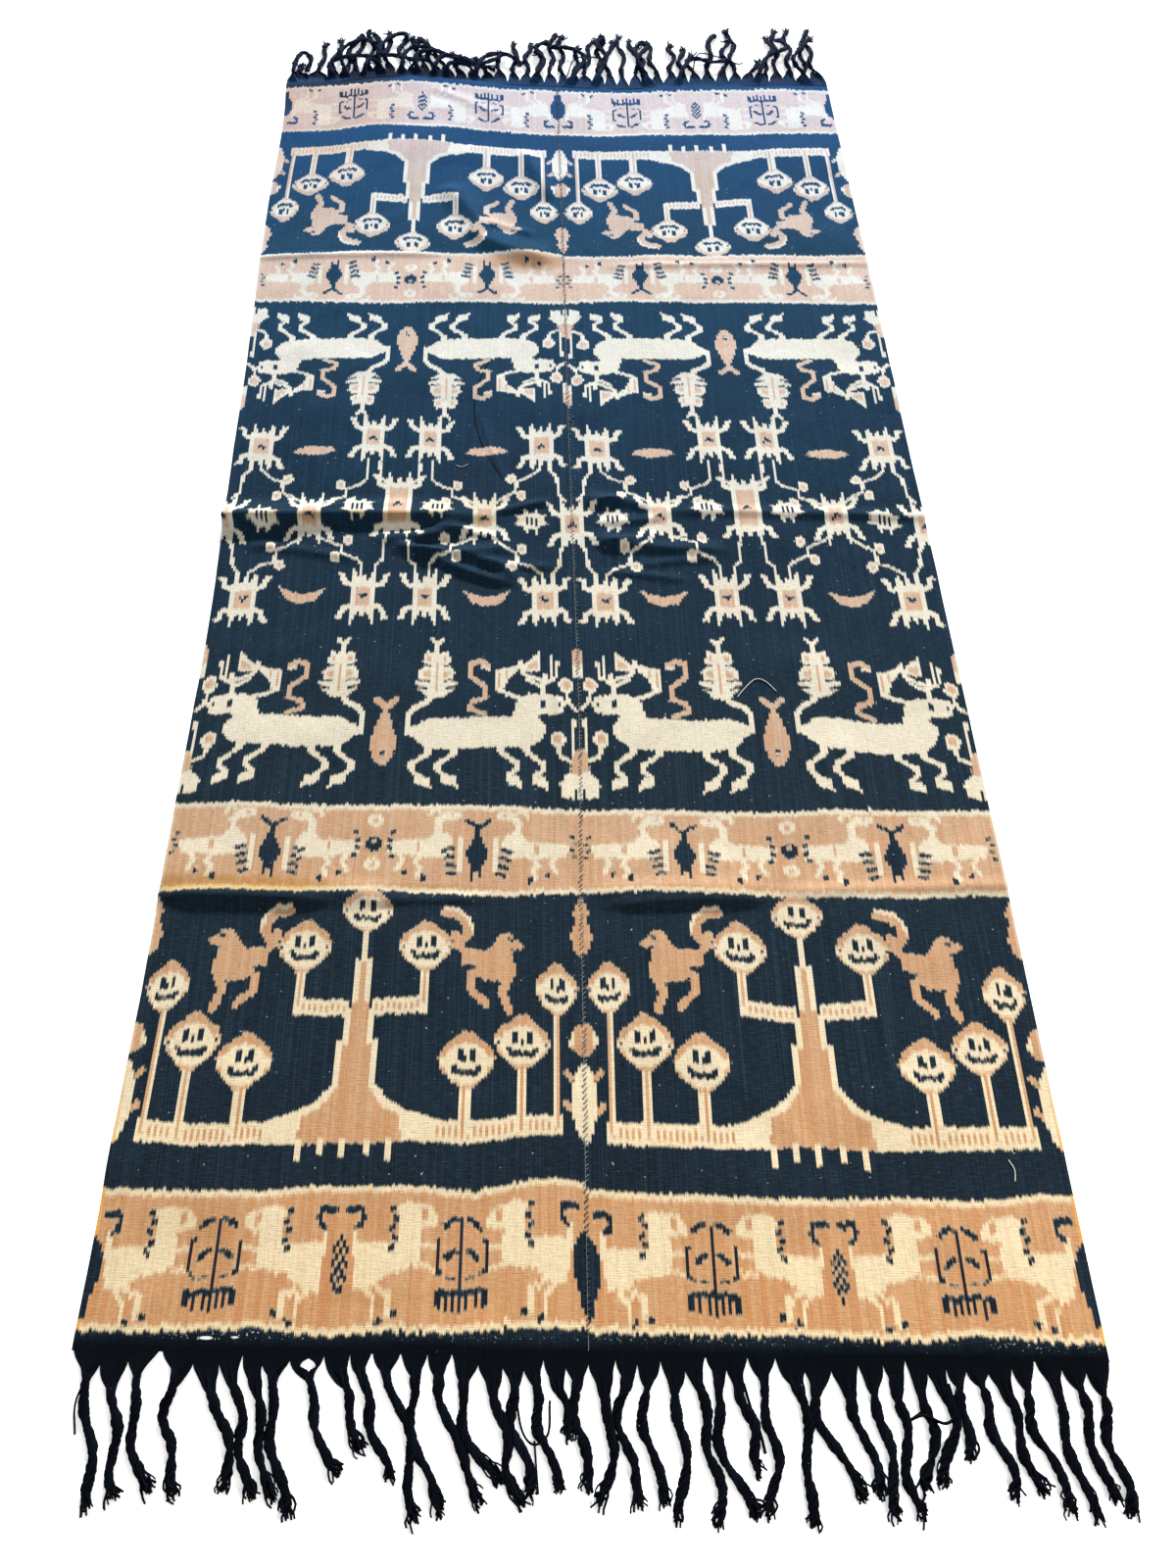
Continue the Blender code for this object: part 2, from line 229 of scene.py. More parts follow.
# Yarn of the tassels; where the two ends differ, -1 is the near one
FAN_LENGTHS = {-1: (0.042, 0.062), 1: (0.050, 0.074)}
SLIT_STARTS = {-1: (-0.010, 0.018), 1: (0.002, 0.030)}
SHORTEST_FAN = 0.018
LONGEST_FAN_SHARE = 0.7
WANDER = {-1: 0.0062, 1: 0.0070}
WANDER_LENGTHS = (0.090, 0.150)
ROOT_DEPTH = 0.022
ROOT_V = CLOTH_HALF_LENGTH + END_GAP + STRIP_DEPTH - ROOT_DEPTH
ROOT_UNEVEN = 0.0004
ROOT_YARNS = 16
ROOT_COVER = 1.25
THINNEST_ROOT = 0.9
PLIES = 2
YARNS_A_PLY = {-1: 10, 1: 8}
YARN_TURNS = 1.9
PHASE_BY_SLIT = 300
SWELLING = 0.16
SWELLING_RATE = 90
SWELLING_BY_SLIT = 500
YARN_RADIUS = 0.0016
PLY_RADIUS = 0.0042
PLY_OFFSET = 0.0018
TWIST_PITCH = 0.070
CORD_FLATNESS = 0.45
YARN_STEPS = 36
YARN_REST = 0.0001
CAP_WELD = 0.00002
FRAY_LENGTHS = (0.010, 0.032)
FRAY_ASIDE = 0.0034
FRAY_ALONG = 0.0042
FRAY_UP = 0.0026
FRAYED_RADIUS = 0.80
CURL_RATES = (200, 520)
CURL_SIZES = (0.0006, 0.0022)
STRIP_CELLS = (150, 6)
STRIP_OVERLAP = 0.006

# Worn holes in the near end strip
Hole = namedtuple("Hole", "x v half_x half_v")
HOLES = listed(
    Hole,
    (-0.333, -1.279, 0.0105, 0.0058),
    (-0.456, -1.2515, 0.0085, 0.0020),
    (-0.422, -1.2505, 0.0050, 0.0012),
)
HOLE_BLUNTNESS = 0.3

# Tassels that have fallen sideways over their neighbours at the far end: points from root to tip, millimetres
Fallen = namedtuple("Fallen", "side points")
FALLEN = listed(
    Fallen,
    ("left", ((-352, 1284), (-340, 1345), (-300, 1362), (-250, 1340), (-205, 1322))),
    ("left", ((-312, 1284), (-318, 1330), (-280, 1352), (-225, 1330), (-170, 1318))),
    ("left", ((-392, 1284), (-405, 1350), (-380, 1400), (-350, 1412), (-340, 1392))),
    ("left", ((-250, 1284), (-240, 1310), (-190, 1312), (-140, 1340), (-118, 1372))),
    ("left", ((-592, 1284), (-590, 1330), (-576, 1366), (-556, 1340), (-560, 1300))),
    ("left", ((-500, 1284), (-512, 1320), (-470, 1338), (-430, 1330), (-408, 1308))),
    ("left", ((-440, 1284), (-420, 1322), (-370, 1326), (-325, 1310), (-296, 1322))),
    ("left", ((-282, 1284), (-262, 1330), (-215, 1336), (-176, 1312), (-140, 1308))),
    ("left", ((-470, 1284), (-490, 1360), (-450, 1398), (-415, 1380), (-402, 1350))),
    ("left", ((-190, 1284), (-165, 1345), (-120, 1362), (-80, 1330))),
    ("left", ((-60, 1284), (-30, 1340), (-48, 1392), (-20, 1420))),
    ("right", ((20, 1284), (60, 1350), (40, 1390), (-20, 1402))),
    ("right", ((78, 1284), (110, 1360), (90, 1420), (110, 1440))),
    ("right", ((210, 1284), (180, 1350), (205, 1405), (190, 1430))),
    ("right", ((262, 1284), (300, 1345), (350, 1335), (385, 1342))),
    ("right", ((440, 1284), (470, 1350), (520, 1392), (500, 1430))),
    ("right", ((560, 1284), (530, 1340), (560, 1400), (580, 1436))),
)
FALLEN_LIFT = 0.0065
FALLEN_SLITS = (0.002, 0.020)
FALLEN_SPREAD = (-0.01, 0.01)
FALLEN_FAN = 0.04

# Single yarns that have come loose from the fringe, and threads on the cloth: points in millimetres
Strand = namedtuple("Strand", "end side width rise points")
STRANDS = listed(
    Strand,
    (-1, "left", 0.85, 1, ((-92, -1300), (-84, -1342), (-70, -1356), (-54, -1344), (-52, -1312))),
    (-1, "left", 0.75, 1, ((-70, -1352), (-68, -1378), (-66, -1404))),
    (-1, "left", 0.80, 1, ((-592, -1300), (-597, -1322), (-592, -1352))),
    (
        -1, "right", 1.10, 6,
        ((408, -1290), (410, -1318), (396, -1330), (372, -1322), (352, -1330), (374, -1318)),
    ),
    (-1, "right", 1.10, 2, ((172, -1292), (178, -1318), (186, -1342), (190, -1362))),
    (1, "left", 1.00, 8, ((-330, 1300), (-350, 1368), (-322, 1392), (-300, 1372), (-318, 1340))),
    (1, "right", 1.00, 8, ((300, 1300), (318, 1368), (352, 1362), (402, 1340), (418, 1346))),
    (1, "right", 1.00, 6, ((20, 1300), (42, 1362), (92, 1372), (110, 1352))),
)
LOOSE_THREADS = (
    ((251, -352), (262, -338), (281, -320), (297, -324), (312, -342)),
    ((4, 210), (10, 226), (4, 236), (12, 242)),
    ((420, 148), (432, 150), (436, 158)),
    ((528, -1040), (533, -1052), (531, -1066)),
    ((-196, 126), (-188, 122), (-176, 128)),
)
THREAD_LIFT = 0.0008
THREAD_WIDTH = 1.1

# Whip stitches along the seam
STITCH_STEP = 0.0072
STITCH_REACH = 0.0040
STITCH_RISE = 0.0014
STITCH_SINK = 0.0003
STITCH_RADIUS = 0.0006
STITCH_POINTS = 6
STITCH_INSET = 0.01
STITCH_SEED = 3

# Colours as they look, 0 to 255, at places from the near end (0) to the far end (1). Their change along the
# throw is partly real fading and partly painted light: the far end is painted brighter and bluer for the
# glancing light and sheen from beyond it, and the near end darker and warmer. The yarn's far end is painted
# brighter, with painted highlights on its fibres.
FADE_AND_SHEEN_LENGTH = 2.6
DARK_FADE_AND_SHEEN = (
    (0.04, (18, 27, 36)),
    (0.30, (23, 37, 48)),
    (0.52, (14, 38, 57)),
    (0.78, (12, 61, 93)),
    (0.98, (0, 74, 132)),
)
FADED_FADE_AND_SHEEN = ((0.35, (66, 90, 108)), (0.85, (40, 102, 146)))
TAN_FADE_AND_SHEEN = (
    (0.02, (200, 142, 93)),
    (0.28, (202, 158, 122)),
    (0.75, (228, 200, 184)),
    (0.84, (212, 191, 180)),
    (0.90, (220, 204, 204)),
    (0.95, (230, 217, 224)),
)
CREAM_FADE_AND_SHEEN = (
    (0.02, (234, 212, 170)),
    (0.33, (230, 220, 196)),
    (0.70, (238, 238, 230)),
    (0.98, (246, 248, 248)),
)
YARN_FADE_AND_LIGHT = ((0.0, (3, 7, 15)), (0.5, (6, 12, 25)), (1.0, (12, 28, 56)))
PAINTED_HIGHLIGHT_RAMP = ((0.1, (40, 52, 72)), (1.0, (60, 104, 160)))
NEAR_ROOTS_V = 1.305
FAR_ROOTS_V = 1.292
FEATHER = 11
YARN_RELIEF = 0.0005
COTTON_SPECULAR = 0.06

# Brown stains and a warm far corner: a middle, half sizes in metres, how much they take, and their tint
Stain = namedtuple("Stain", "x v half_x half_v share tint", defaults=[(0.64, 0.53, 0.30)])
STAINS = listed(
    Stain,
    (-0.490, -0.677, 0.220, 0.024, 0.90),
    (-0.240, -0.676, 0.130, 0.010, 0.50),
    (0.150, -0.676, 0.170, 0.010, 0.45),
    (-0.075, 0.664, 0.100, 0.030, 0.85, (0.78, 0.58, 0.36)),
    (-0.330, 0.002, 0.330, 0.014, 0.75),
    (-0.170, 0.030, 0.160, 0.060, 0.22),
    (-0.040, -0.100, 0.050, 0.030, 0.45),
    (-0.640, 1.180, 0.400, 0.420, 0.85, (0.86, 0.68, 0.54)),
    (-0.470, -1.120, 0.110, 0.035, 0.25),
    (-0.240, -1.205, 0.100, 0.016, 0.25),
)

# Where the near end strip shows pale worn flecks
WORN = listed(
    Stain,
    (-0.420, -1.249, 0.110, 0.007, 1.0),
    (0.530, -1.250, 0.090, 0.009, 0.85),
    (0.180, -1.249, 0.260, 0.005, 0.50),
    (-0.130, -1.249, 0.130, 0.005, 0.40),
)

# Light and camera: LIGHT_GAIN is how much brighter the studio shows a dye than its own colour
LIGHT_GAIN = 1.3
SKY_STRENGTH = 0.32
SUN_STRENGTH = 8.2
SUN_WIDTH = math.radians(7)
SUN_PLACE = (0.6, 3.6, 1.30)
FILL_SIZE = 2.0
FILL_POWER = 48
FILL_PLACE = (1.7, -2.0, 2.3)
FILL_TARGET = (0.2, -0.8, 0.0)
CAMERA_PLACE = Vector((0.0, -1.327, 1.482))
CAMERA_LENS = 26.0
CAMERA_PITCH = math.radians(61.68)
CAMERA_YAW = math.radians(1.1)
CAMERA_ROLL = math.radians(-0.65)


def smooth(t):
    """Ease from 0 to 1, held at both ends."""
    t = np.clip(t, 0.0, 1.0)
    return t * t * (3 - 2 * t)


def mix(a, b, t):
    """From a to b as t goes from 0 to 1."""
    return a + (b - a) * t


def edge_x(points, v):
    """The x of a selvedge or the seam at each v, eased from one listed point to the next."""
    x = np.full(np.shape(v), points[0].x)
    for low, high in zip(points, points[1:]):
        eased = mix(low.x, high.x, smooth((v - low.v) / (high.v - low.v)))
        x = np.where(v > low.v, eased, x)
    return x


def panel_edges(side, v):
    """The lowest and highest x of one loom width at each v, a hair short of the seam."""
    seam = edge_x(SEAM, v)
    if side == "left":
        return edge_x(LEFT_SELVEDGE, v), seam - SEAM_GAP / 2
    return seam + SEAM_GAP / 2, edge_x(RIGHT_SELVEDGE, v)


def wrinkle_height(wrinkle, x, v):
    """Height of one wrinkle at places on the cloth, zero beyond its ends and sides."""
    run_x = wrinkle.x1 - wrinkle.x0
    run_v = wrinkle.v1 - wrinkle.v0
    length = math.hypot(run_x, run_v)
    along = ((x - wrinkle.x0) * run_x + (v - wrinkle.v0) * run_v) / length**2
    across = (run_x * (v - wrinkle.v0) - run_v * (x - wrinkle.x0)) / length
    across = across - wrinkle.bow * 4 * along * (1 - along)
    share = np.where(across < 0, wrinkle.near_share, 1 - wrinkle.near_share)
    ratio = np.clip(np.abs(across) / (wrinkle.width * share), 0, 1)
    taper = smooth(along / WRINKLE_TAPER) * smooth((1 - along) / WRINKLE_TAPER)
    rounded = np.cos(ratio * math.pi / 2) ** 2
    return wrinkle.height * taper * mix(rounded, (1 - ratio) ** 2, CREST_SHARPNESS)


def ripples(x, v):
    """Slight waves of cloth that doesn't lie quite flat, never below the floor."""
    chance = np.random.default_rng(5)
    height = np.zeros(np.shape(x))
    for length in RIPPLE_LENGTHS:
        for _ in range(3):
            heading = chance.uniform(0, math.pi)
            phase = chance.uniform(0, 2 * math.pi)
            turn = (x * math.cos(heading) + v * math.sin(heading)) * 2 * math.pi / length
            height = height + np.sin(turn + phase) * length / RIPPLE_LENGTHS[0]
    return RIPPLE_HEIGHT * np.clip(height + 0.6, 0, None)


def cloth_height(x, v):
    """Height of the cloth's underside: its wrinkles, creases and ripples."""
    height = ripples(x, v)
    for wrinkle in WRINKLES + CREASES:
        height = height + wrinkle_height(wrinkle, x, v)
    return height


def lay(x, v):
    """The y where each place on the cloth lies: the weft is a little askew, and the far warp uneven."""
    slack = sum(part.reach * np.exp(-(((x - part.x) / part.spread) ** 2)) for part in FAR_SLACK)
    slack = slack * smooth((v - SLACK_START) / (SLACK_FULL - SLACK_START))
    return v + slack - SKEW * x + WEAVE_MIDDLE_Y


def new_piece(name, mesh, material):
    """A mesh as a named piece at the origin that rides with the throw."""
    piece = bpy.data.objects.new(name, mesh)
    bpy.context.scene.collection.objects.link(piece)
    mesh.materials.clear()
    mesh.materials.append(material)
    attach(piece, "root")
    return piece


def eased_noise(chance, rows, columns, step_rows, step_columns):
    """Random values on a coarse grid, eased to every row and column between."""
    coarse_rows = rows // step_rows + 3
    coarse_columns = columns // step_columns + 3
    grid = chance.normal(0, 1, (coarse_rows, coarse_columns))
    row = np.arange(rows) / step_rows
    column = np.arange(columns) / step_columns
    row_low = row.astype(int)
    column_low = column.astype(int)
    row_share = smooth(row - row_low)[:, None]
    column_share = smooth(column - column_low)[None, :]
    near = mix(grid[row_low][:, column_low], grid[row_low][:, column_low + 1], column_share)
    far = mix(grid[row_low + 1][:, column_low], grid[row_low + 1][:, column_low + 1], column_share)
    return mix(near, far, row_share)


class Warp:
    """The warp of one loom width while it is tied and dyed: a row a millimetre, a column a bundle."""

    def __init__(self, side):
        self.side = side
        chance = np.random.default_rng(DYE_SEEDS[side])
        rows = 2 * CHART_HALF
        self.ink = np.zeros((rows, BUNDLES), np.int8)
        p = (np.arange(BUNDLES) + 0.5) / BUNDLES * LOOM_WIDTH - LOOM_WIDTH / 2
        v = np.arange(rows)[:, None] + 0.5 - CHART_HALF
        drift = eased_noise(chance, rows, BUNDLES, DRIFT_STEP, DRIFT_BUNDLES) * DRIFT_ALONG
        slip = eased_noise(chance, rows, BUNDLES, SLIP_STEP, 1) * BUNDLE_SLIP
        outermost = smooth((np.abs(v) - ROUGH_START) / (ROUGH_FULL - ROUGH_START))
        self.p = np.broadcast_to(p, (rows, BUNDLES))
        self.v = v + drift * mix(1.0, ROUGH_DRIFT, outermost) + slip * mix(1.0, ROUGH_SLIP, outermost)
        for hump in HUMPS:
            if hump.side == side:
                away = ((p[None, :] - hump.p) / hump.spread_p) ** 2 + ((v - hump.v) / hump.spread_v) ** 2
                self.v = self.v - hump.reach * np.exp(-away)

    def window(self, p_low, p_high, v_low, v_high):
        """The part of the chart that a shape can reach, however the warp has slipped."""
        row_low = int(v_low + CHART_HALF - SLIP_MARGIN)
        row_high = int(v_high + CHART_HALF + SLIP_MARGIN)
        share = BUNDLES / LOOM_WIDTH
        first = int((p_low + LOOM_WIDTH / 2 - SLIP_MARGIN) * share)
        last = int((p_high + LOOM_WIDTH / 2 + SLIP_MARGIN) * share)
        return slice(max(0, row_low), max(0, row_high)), slice(max(0, first), max(0, last))

    def reach(self, inside):
        """Signed distance along the warp to the nearest edge of a dye, in millimetres."""
        rows = np.arange(len(inside))[:, None]
        reach = np.zeros(inside.shape)
        for state, sign in ((inside, 1.0), (~inside, -1.0)):
            before = np.maximum.accumulate(np.where(state, -len(rows), rows), axis=0)
            after = np.minimum.accumulate(np.where(state, 2 * len(rows), rows)[::-1], axis=0)[::-1]
            gap = np.minimum(rows - before, after - rows) - 0.5
            reach = np.where(state, sign * gap, reach)
        return np.clip(reach, -EDGE_REACH, EDGE_REACH)


class Motif:
    """A place on the warp in which shapes are dyed: u across and w along, either way round."""

    def __init__(self, warp, p, v, turn=1, face=1, size=1.0, wide=1.0):
        self.warp = warp
        self.p = p
        self.v = v
        self.turn = turn * size * wide
        self.face = face * size

    def area(self, points, margin=0.0):
        """The window around some points, with its u and w."""
        p = [self.p + self.turn * u for u, _ in points]
        v = [self.v + self.face * w for _, w in points]
        spot = self.warp.window(min(p) - margin, max(p) + margin, min(v) - margin, max(v) + margin)
        u = (self.warp.p[spot] - self.p) / self.turn
        w = (self.warp.v[spot] - self.v) / self.face
        return spot, u, w

    def dye(self, spot, inside, ink):
        """Dye the bundles of a window that are inside a shape."""
        self.warp.ink[spot][inside] = ink

    def blob(self, ink, u, w, half_u, half_w):
        """An ellipse about its middle."""
        spot, across, along = self.area([(u - half_u, w - half_w), (u + half_u, w + half_w)])
        self.dye(spot, ((across - u) / half_u) ** 2 + ((along - w) / half_w) ** 2 < 1, ink)

    def bar(self, ink, u0, w0, u1, w1):
        """A rectangle between two opposite corners."""
        spot, across, along = self.area([(u0, w0), (u1, w1)])
        inside_u = (across >= min(u0, u1)) & (across <= max(u0, u1))
        inside_w = (along >= min(w0, w1)) & (along <= max(w0, w1))
        self.dye(spot, inside_u & inside_w, ink)

    def line(self, ink, width, *points):
        """A stroke as wide as a brush through its points."""
        for (u0, w0), (u1, w1) in zip(points, points[1:]):
            spot, across, along = self.area([(u0, w0), (u1, w1)], width)
            run_u, run_w = u1 - u0, w1 - w0
            share = ((across - u0) * run_u + (along - w0) * run_w) / (run_u**2 + run_w**2)
            share = np.clip(share, 0, 1)
            gap = np.hypot(across - u0 - share * run_u, along - w0 - share * run_w)
            self.dye(spot, gap < width / 2, ink)

    def patch(self, ink, *points):
        """A filled outline of straight sides."""
        spot, across, along = self.area(points)
        inside = np.zeros(across.shape, bool)
        for (u0, w0), (u1, w1) in zip(points, points[1:] + points[:1]):
            if w0 == w1:
                continue
            crossing = (along > w0) != (along > w1)
            inside ^= crossing & (across < u0 + (along - w0) * (u1 - u0) / (w1 - w0))
        self.dye(spot, inside, ink)


def tan_band(whole, start, stop):
    """A tan band across the loom width between two thin cream edges."""
    whole.bar(CREAM, -PAST_SELVEDGE, start, PAST_SELVEDGE, stop)
    whole.bar(TAN, -PAST_SELVEDGE, start + CREAM_EDGE, PAST_SELVEDGE, stop - CREAM_EDGE)


def horse(motif):
    """A cream horse whose head is at +u, its mane, hooves and the curl of its tail dark."""
    motif.line(CREAM, 5, (38, -19), (59, -21))
    motif.line(CREAM, 5, (34, 1), (60, 4))
    motif.patch(CREAM, (-39, -22), (14, -24), (41, -22), (41, -4), (28, 6), (4, 10), (-18, 26), (-38, 26))
    motif.patch(CREAM, (15, -20), (14, -66), (38, -68), (42, -20))
    motif.patch(CREAM, (9, -62), (24, -70), (52, -66), (61, -56), (61, -44), (46, -40), (24, -42))
    motif.bar(TAN, 42, -63, 50, -49)
    motif.bar(CREAM, 45, -61, 47, -51)
    for dash in range(5):
        middle = -61 + 11 * dash
        lean = 3 if dash % 2 else -1
        motif.bar(DARK, lean + 3, middle - 4, lean + 12, middle + 4)
    motif.bar(CREAM, -43, -40, -38, -8)
    motif.line(DARK, 10, (-48, -59), (-37, -60))
    motif.line(DARK, 7, (-33, -60), (-30, -50), (-32, -42), (-38, -38))
    motif.line(CREAM, 6, (-30, 20), (-16, 33), (-11, 38), (-11, 58))
    motif.line(CREAM, 6, (-16, 16), (-2, 29), (7, 31), (7, 56))
    motif.blob(DARK, 14, 54, 5, 5)
    motif.blob(DARK, -4, 60, 5, 5)


def band_tree(motif):
    """A dark sapling between brackets, over a comb of roots."""
    motif.bar(DARK, -2.4, -50, 2.4, 58)
    for side in (-1, 1):
        motif.line(DARK, 8, (side * 7, -49), (side * 13, -47), (side * 21, -40))
        motif.line(DARK, 8, (side * 8, -12), (side * 13, -10), (side * 19, -3))
        motif.bar(DARK, side * 28, -26, side * 32, 10)
        motif.bar(DARK, side * 25, -26, side * 32, -19)
        motif.line(DARK, 6, (side * 29, 12), (side * 24, 16))
        motif.line(DARK, 5, (side * 16, 18), (side * 8, 20))
        motif.bar(DARK, side * 24, 33, side * 32, 54)
        for tooth in (6, 15):
            motif.bar(DARK, side * tooth, 36, side * (tooth + 4), 56)
    motif.bar(DARK, -28, 31, 28, 39)


def speckled_diamond(motif):
    """A lozenge of dark dashes, each a single bundle wide."""
    for row, reach in enumerate((0, 1, 2, 1, 2, 1, 2, 1, 0)):
        for column in range(-reach, reach + 1, 2):
            middle_u = column * BUNDLE_WIDTH
            middle_w = 7 * row - 28
            motif.bar(DARK, middle_u - 1.5, middle_w - 4.5, middle_u + 1.5, middle_w + 4.5)


def end_band(warp, face):
    """Four horses to a loom width, in pairs at the two saplings."""
    whole = Motif(warp, 0, 0, 1, face)
    tan_band(whole, *END_BAND)
    for side in (-1, 1):
        horse(Motif(warp, side * 57, 1172 * face, side, face))
        horse(Motif(warp, side * 240, 1173 * face, -side, face))
        band_tree(Motif(warp, side * 149, 1166 * face, side, face))
        edge = Motif(warp, side * SELVEDGE, 1174 * face, side, face)
        edge.blob(DARK, 3, 2, 19, 40)
        edge.line(DARK, 6, (-5, 34), (-3, 54))
    speckled_diamond(Motif(warp, BUNDLE_WIDTH / 2, 1172 * face, 1, face))


def striped_bar(motif, start, stop, w0, w1):
    """A cream bar with short tan stripes along the warp."""
    motif.bar(CREAM, start, w0, stop, w1)
    stripe = start + 6
    while stripe < stop - 4:
        motif.bar(TAN, stripe - 2, w0 + 7, stripe + 2, w1 - 6)
        stripe += 2 * BUNDLE_WIDTH


def head_on_stalk(motif, stalk):
    """An egg-shaped head with ears, eyes and a wide mouth, on a striped stalk."""
    if stalk:
        motif.bar(CREAM, -6, 24, 6, stalk)
        motif.bar(TAN, -2, 24, 2, stalk)
    motif.patch(
        TAN, (-38, -6), (-31, -20), (-17, -31), (-6, -41), (6, -41), (17, -31), (31, -20), (38, -6),
        (33, 9), (21, 21), (8, 33), (-8, 33), (-21, 21), (-33, 9),
    )
    motif.blob(CREAM, 0, 1, 29, 27)
    motif.patch(CREAM, (-17, 14), (17, 14), (7, 28), (-7, 28))
    for side in (-1, 1):
        motif.blob(CREAM, side * 31, -2, 5, 7)
        motif.bar(DARK, side * 30, -5, side * 33, 1)
        motif.bar(DARK, side * 5, -19, side * 13, -2)
        motif.line(DARK, 8, (side * 17, 6), (side * 12, 13), (side * 5, 11))
    motif.bar(DARK, -6, 9, 6, 16)
    motif.bar(DARK, -2, -10, 2, 0)


def rooster(motif):
    """A tan cock, its head at +u, with its curled tail drawn apart."""
    motif.blob(TAN, 9, -49, 13, 11)
    motif.patch(TAN, (16, -56), (35, -44), (28, -37), (14, -38))
    motif.patch(TAN, (-2, -54), (16, -42), (18, -28), (-24, -28), (-12, -40))
    motif.patch(
        TAN, (16, -30), (22, -14), (21, 10), (4, 14), (-24, 12), (-32, -8), (-52, -12), (-54, -36),
        (-12, -32),
    )
    motif.blob(DARK, 15, -50, 3, 4)
    motif.line(TAN, 12, (14, 8), (5, 26), (9, 40), (14, 52))
    motif.line(TAN, 10, (-24, 0), (-38, 4), (-37, 28), (-22, 40), (-16, 48))
    motif.line(TAN, 9, (-52, -34), (-60, -42))
    motif.line(TAN, 13, (-76, -90), (-60, -88), (-47, -76), (-44, -58), (-56, -44), (-62, -56))
    motif.line(CREAM, 5, (-76, -97), (-58, -95), (-42, -82), (-38, -64))


def head_tree(warp, face):
    """The tree that fills the field: a flared tan trunk, bars and heads on stalks."""
    tree = Motif(warp, 0, 0, 1, face)
    for side in (-1, 1):
        half = Motif(warp, 0, 0, side, face)
        striped_bar(half, 60, 271, 1001, 1028)
        half.patch(
            CREAM, (0, 893), (28, 893), (28, 952), (46, 974), (72, 988), (112, 1000), (112, 1028),
            (0, 1028),
        )
        half.patch(TAN, (0, 900), (21, 900), (21, 956), (40, 984), (64, 994), (66, 1028), (0, 1028))
        striped_bar(half, 14, 90, 838, 860)
        half.bar(CREAM, 78, 790, 90, 860)
        half.bar(TAN, 82, 790, 86, 846)
        head_on_stalk(Motif(warp, side * 84, 767 * face, side, face), 0)
        head_on_stalk(Motif(warp, side * 265, 824 * face, side, face, 0.95, 0.82), 205)
        head_on_stalk(Motif(warp, side * 219, 901 * face, side, face), 120)
        head_on_stalk(Motif(warp, side * 146, 926 * face, side, face), 90)
        rooster(Motif(warp, side * 186, 802 * face, side, face))
    tree.bar(CREAM, -20, 852, 20, 900)
    tree.bar(TAN, -12, 840, 12, 905)
    tree.bar(CREAM, -12, 782, 12, 842)
    tree.bar(TAN, -5, 786, 5, 850)
    tree.bar(CREAM, -4, 730, 4, 786)
    head_on_stalk(Motif(warp, 0, 715 * face, 1, face, 0.86, 1.12), 0)
    for prong, reach in ((-64, 1050), (-36, 1044), (-6, 1048), (24, 1044), (50, 1052)):
        tree.bar(CREAM, prong - 4, 1024, prong + 4, reach)


def edge_buds(warp, face):
    """What is half seen at each edge of the heads' field: a leaf, a bud and a cream lens."""
    for side in (-1, 1):
        edge = Motif(warp, side * SELVEDGE, 0, side, face)
        edge.line(TAN, 9, (4, 690), (-6, 712), (-2, 730))
        edge.blob(TAN, 2, 748, 16, 26)
        edge.blob(TAN, 0, 892, 17, 22)
        edge.line(CREAM, 6, (-14, 884), (-16, 898))
        edge.blob(CREAM, 4, 978, 20, 56)
        edge.line(TAN, 8, (-16, 946), (-22, 938))
        edge.line(TAN, 8, (-18, 990), (-24, 982))


def dark_fish(motif):
    """A dark fish with a forked top and two tails."""
    motif.patch(
        DARK, (-3, -28), (-9, -12), (-16, 2), (-15, 12), (-8, 24), (-4, 34), (4, 34), (8, 24), (15, 12),
        (16, 2), (9, -12), (3, -28),
    )
    motif.line(DARK, 7, (0, -26), (0, -34), (-8, -41), (-17, -46))
    motif.line(DARK, 7, (0, -34), (8, -40), (17, -48))
    motif.bar(DARK, -8, 24, -3, 46)
    motif.bar(DARK, 2, 24, 6, 42)


def rearing_beast(motif):
    """A cream long-necked beast, its head at +u by the fish, with dark bars down its foreleg."""
    motif.patch(
        CREAM, (-66, -8), (-30, -11), (-4, -12), (8, -24), (26, -20), (34, -8), (34, 14), (14, 17),
        (-60, 12),
    )
    motif.line(CREAM, 11, (12, -18), (10, -38), (20, -50))
    motif.blob(CREAM, 29, -50, 15, 8)
    motif.line(CREAM, 6, (12, -56), (1, -60), (-3, -50))
    motif.blob(TAN, 31, -51, 3, 3)
    motif.bar(CREAM, 40, -16, 47, 36)
    for dash in range(4):
        motif.line(DARK, 7, (20 + 3 * dash, 6 + 12 * dash), (33 + 2 * dash, 3 + 12 * dash))
    motif.line(CREAM, 7, (-46, 10), (-38, 24), (-46, 38))
    motif.line(CREAM, 7, (-12, 14), (-20, 26), (-12, 34), (-16, 46))
    motif.bar(TAN, -20, -7, -13, 8)
    motif.blob(DARK, -34, 42, 4, 5)
    motif.blob(DARK, -8, 50, 4, 7)


def middle_band(warp, face):
    """The narrow band: dark fish between rearing beasts, and a crab between rings."""
    whole = Motif(warp, 0, 0, 1, face)
    tan_band(whole, *MIDDLE_BAND)
    for side in (-1, 1):
        rearing_beast(Motif(warp, side * 82, 612 * face, side, face))
        rearing_beast(Motif(warp, side * 220, 612 * face, -side, face))
        dark_fish(Motif(warp, side * 151, 616 * face, side, face))
        for reach, along in ((23, 588), (19, 601), (19, 614), (23, 627)):
            whole.bar(DARK, side * reach, along - 4, side * (reach + 7), along + 4)
        edge = Motif(warp, side * SELVEDGE, 612 * face, side, face)
        for dash in range(4):
            edge.bar(DARK, -14 + 2 * (dash % 2), -24 + 11 * dash, -6 + 2 * (dash % 2), -18 + 11 * dash)
    whole.blob(DARK, 0, 608, 12, 13)
    whole.bar(TAN, -2, 600, 2, 606)
    for ring in (570, 641):
        whole.blob(CREAM, 0, ring, 12, 10)
        whole.blob(TAN, 0, ring, 4, 4)


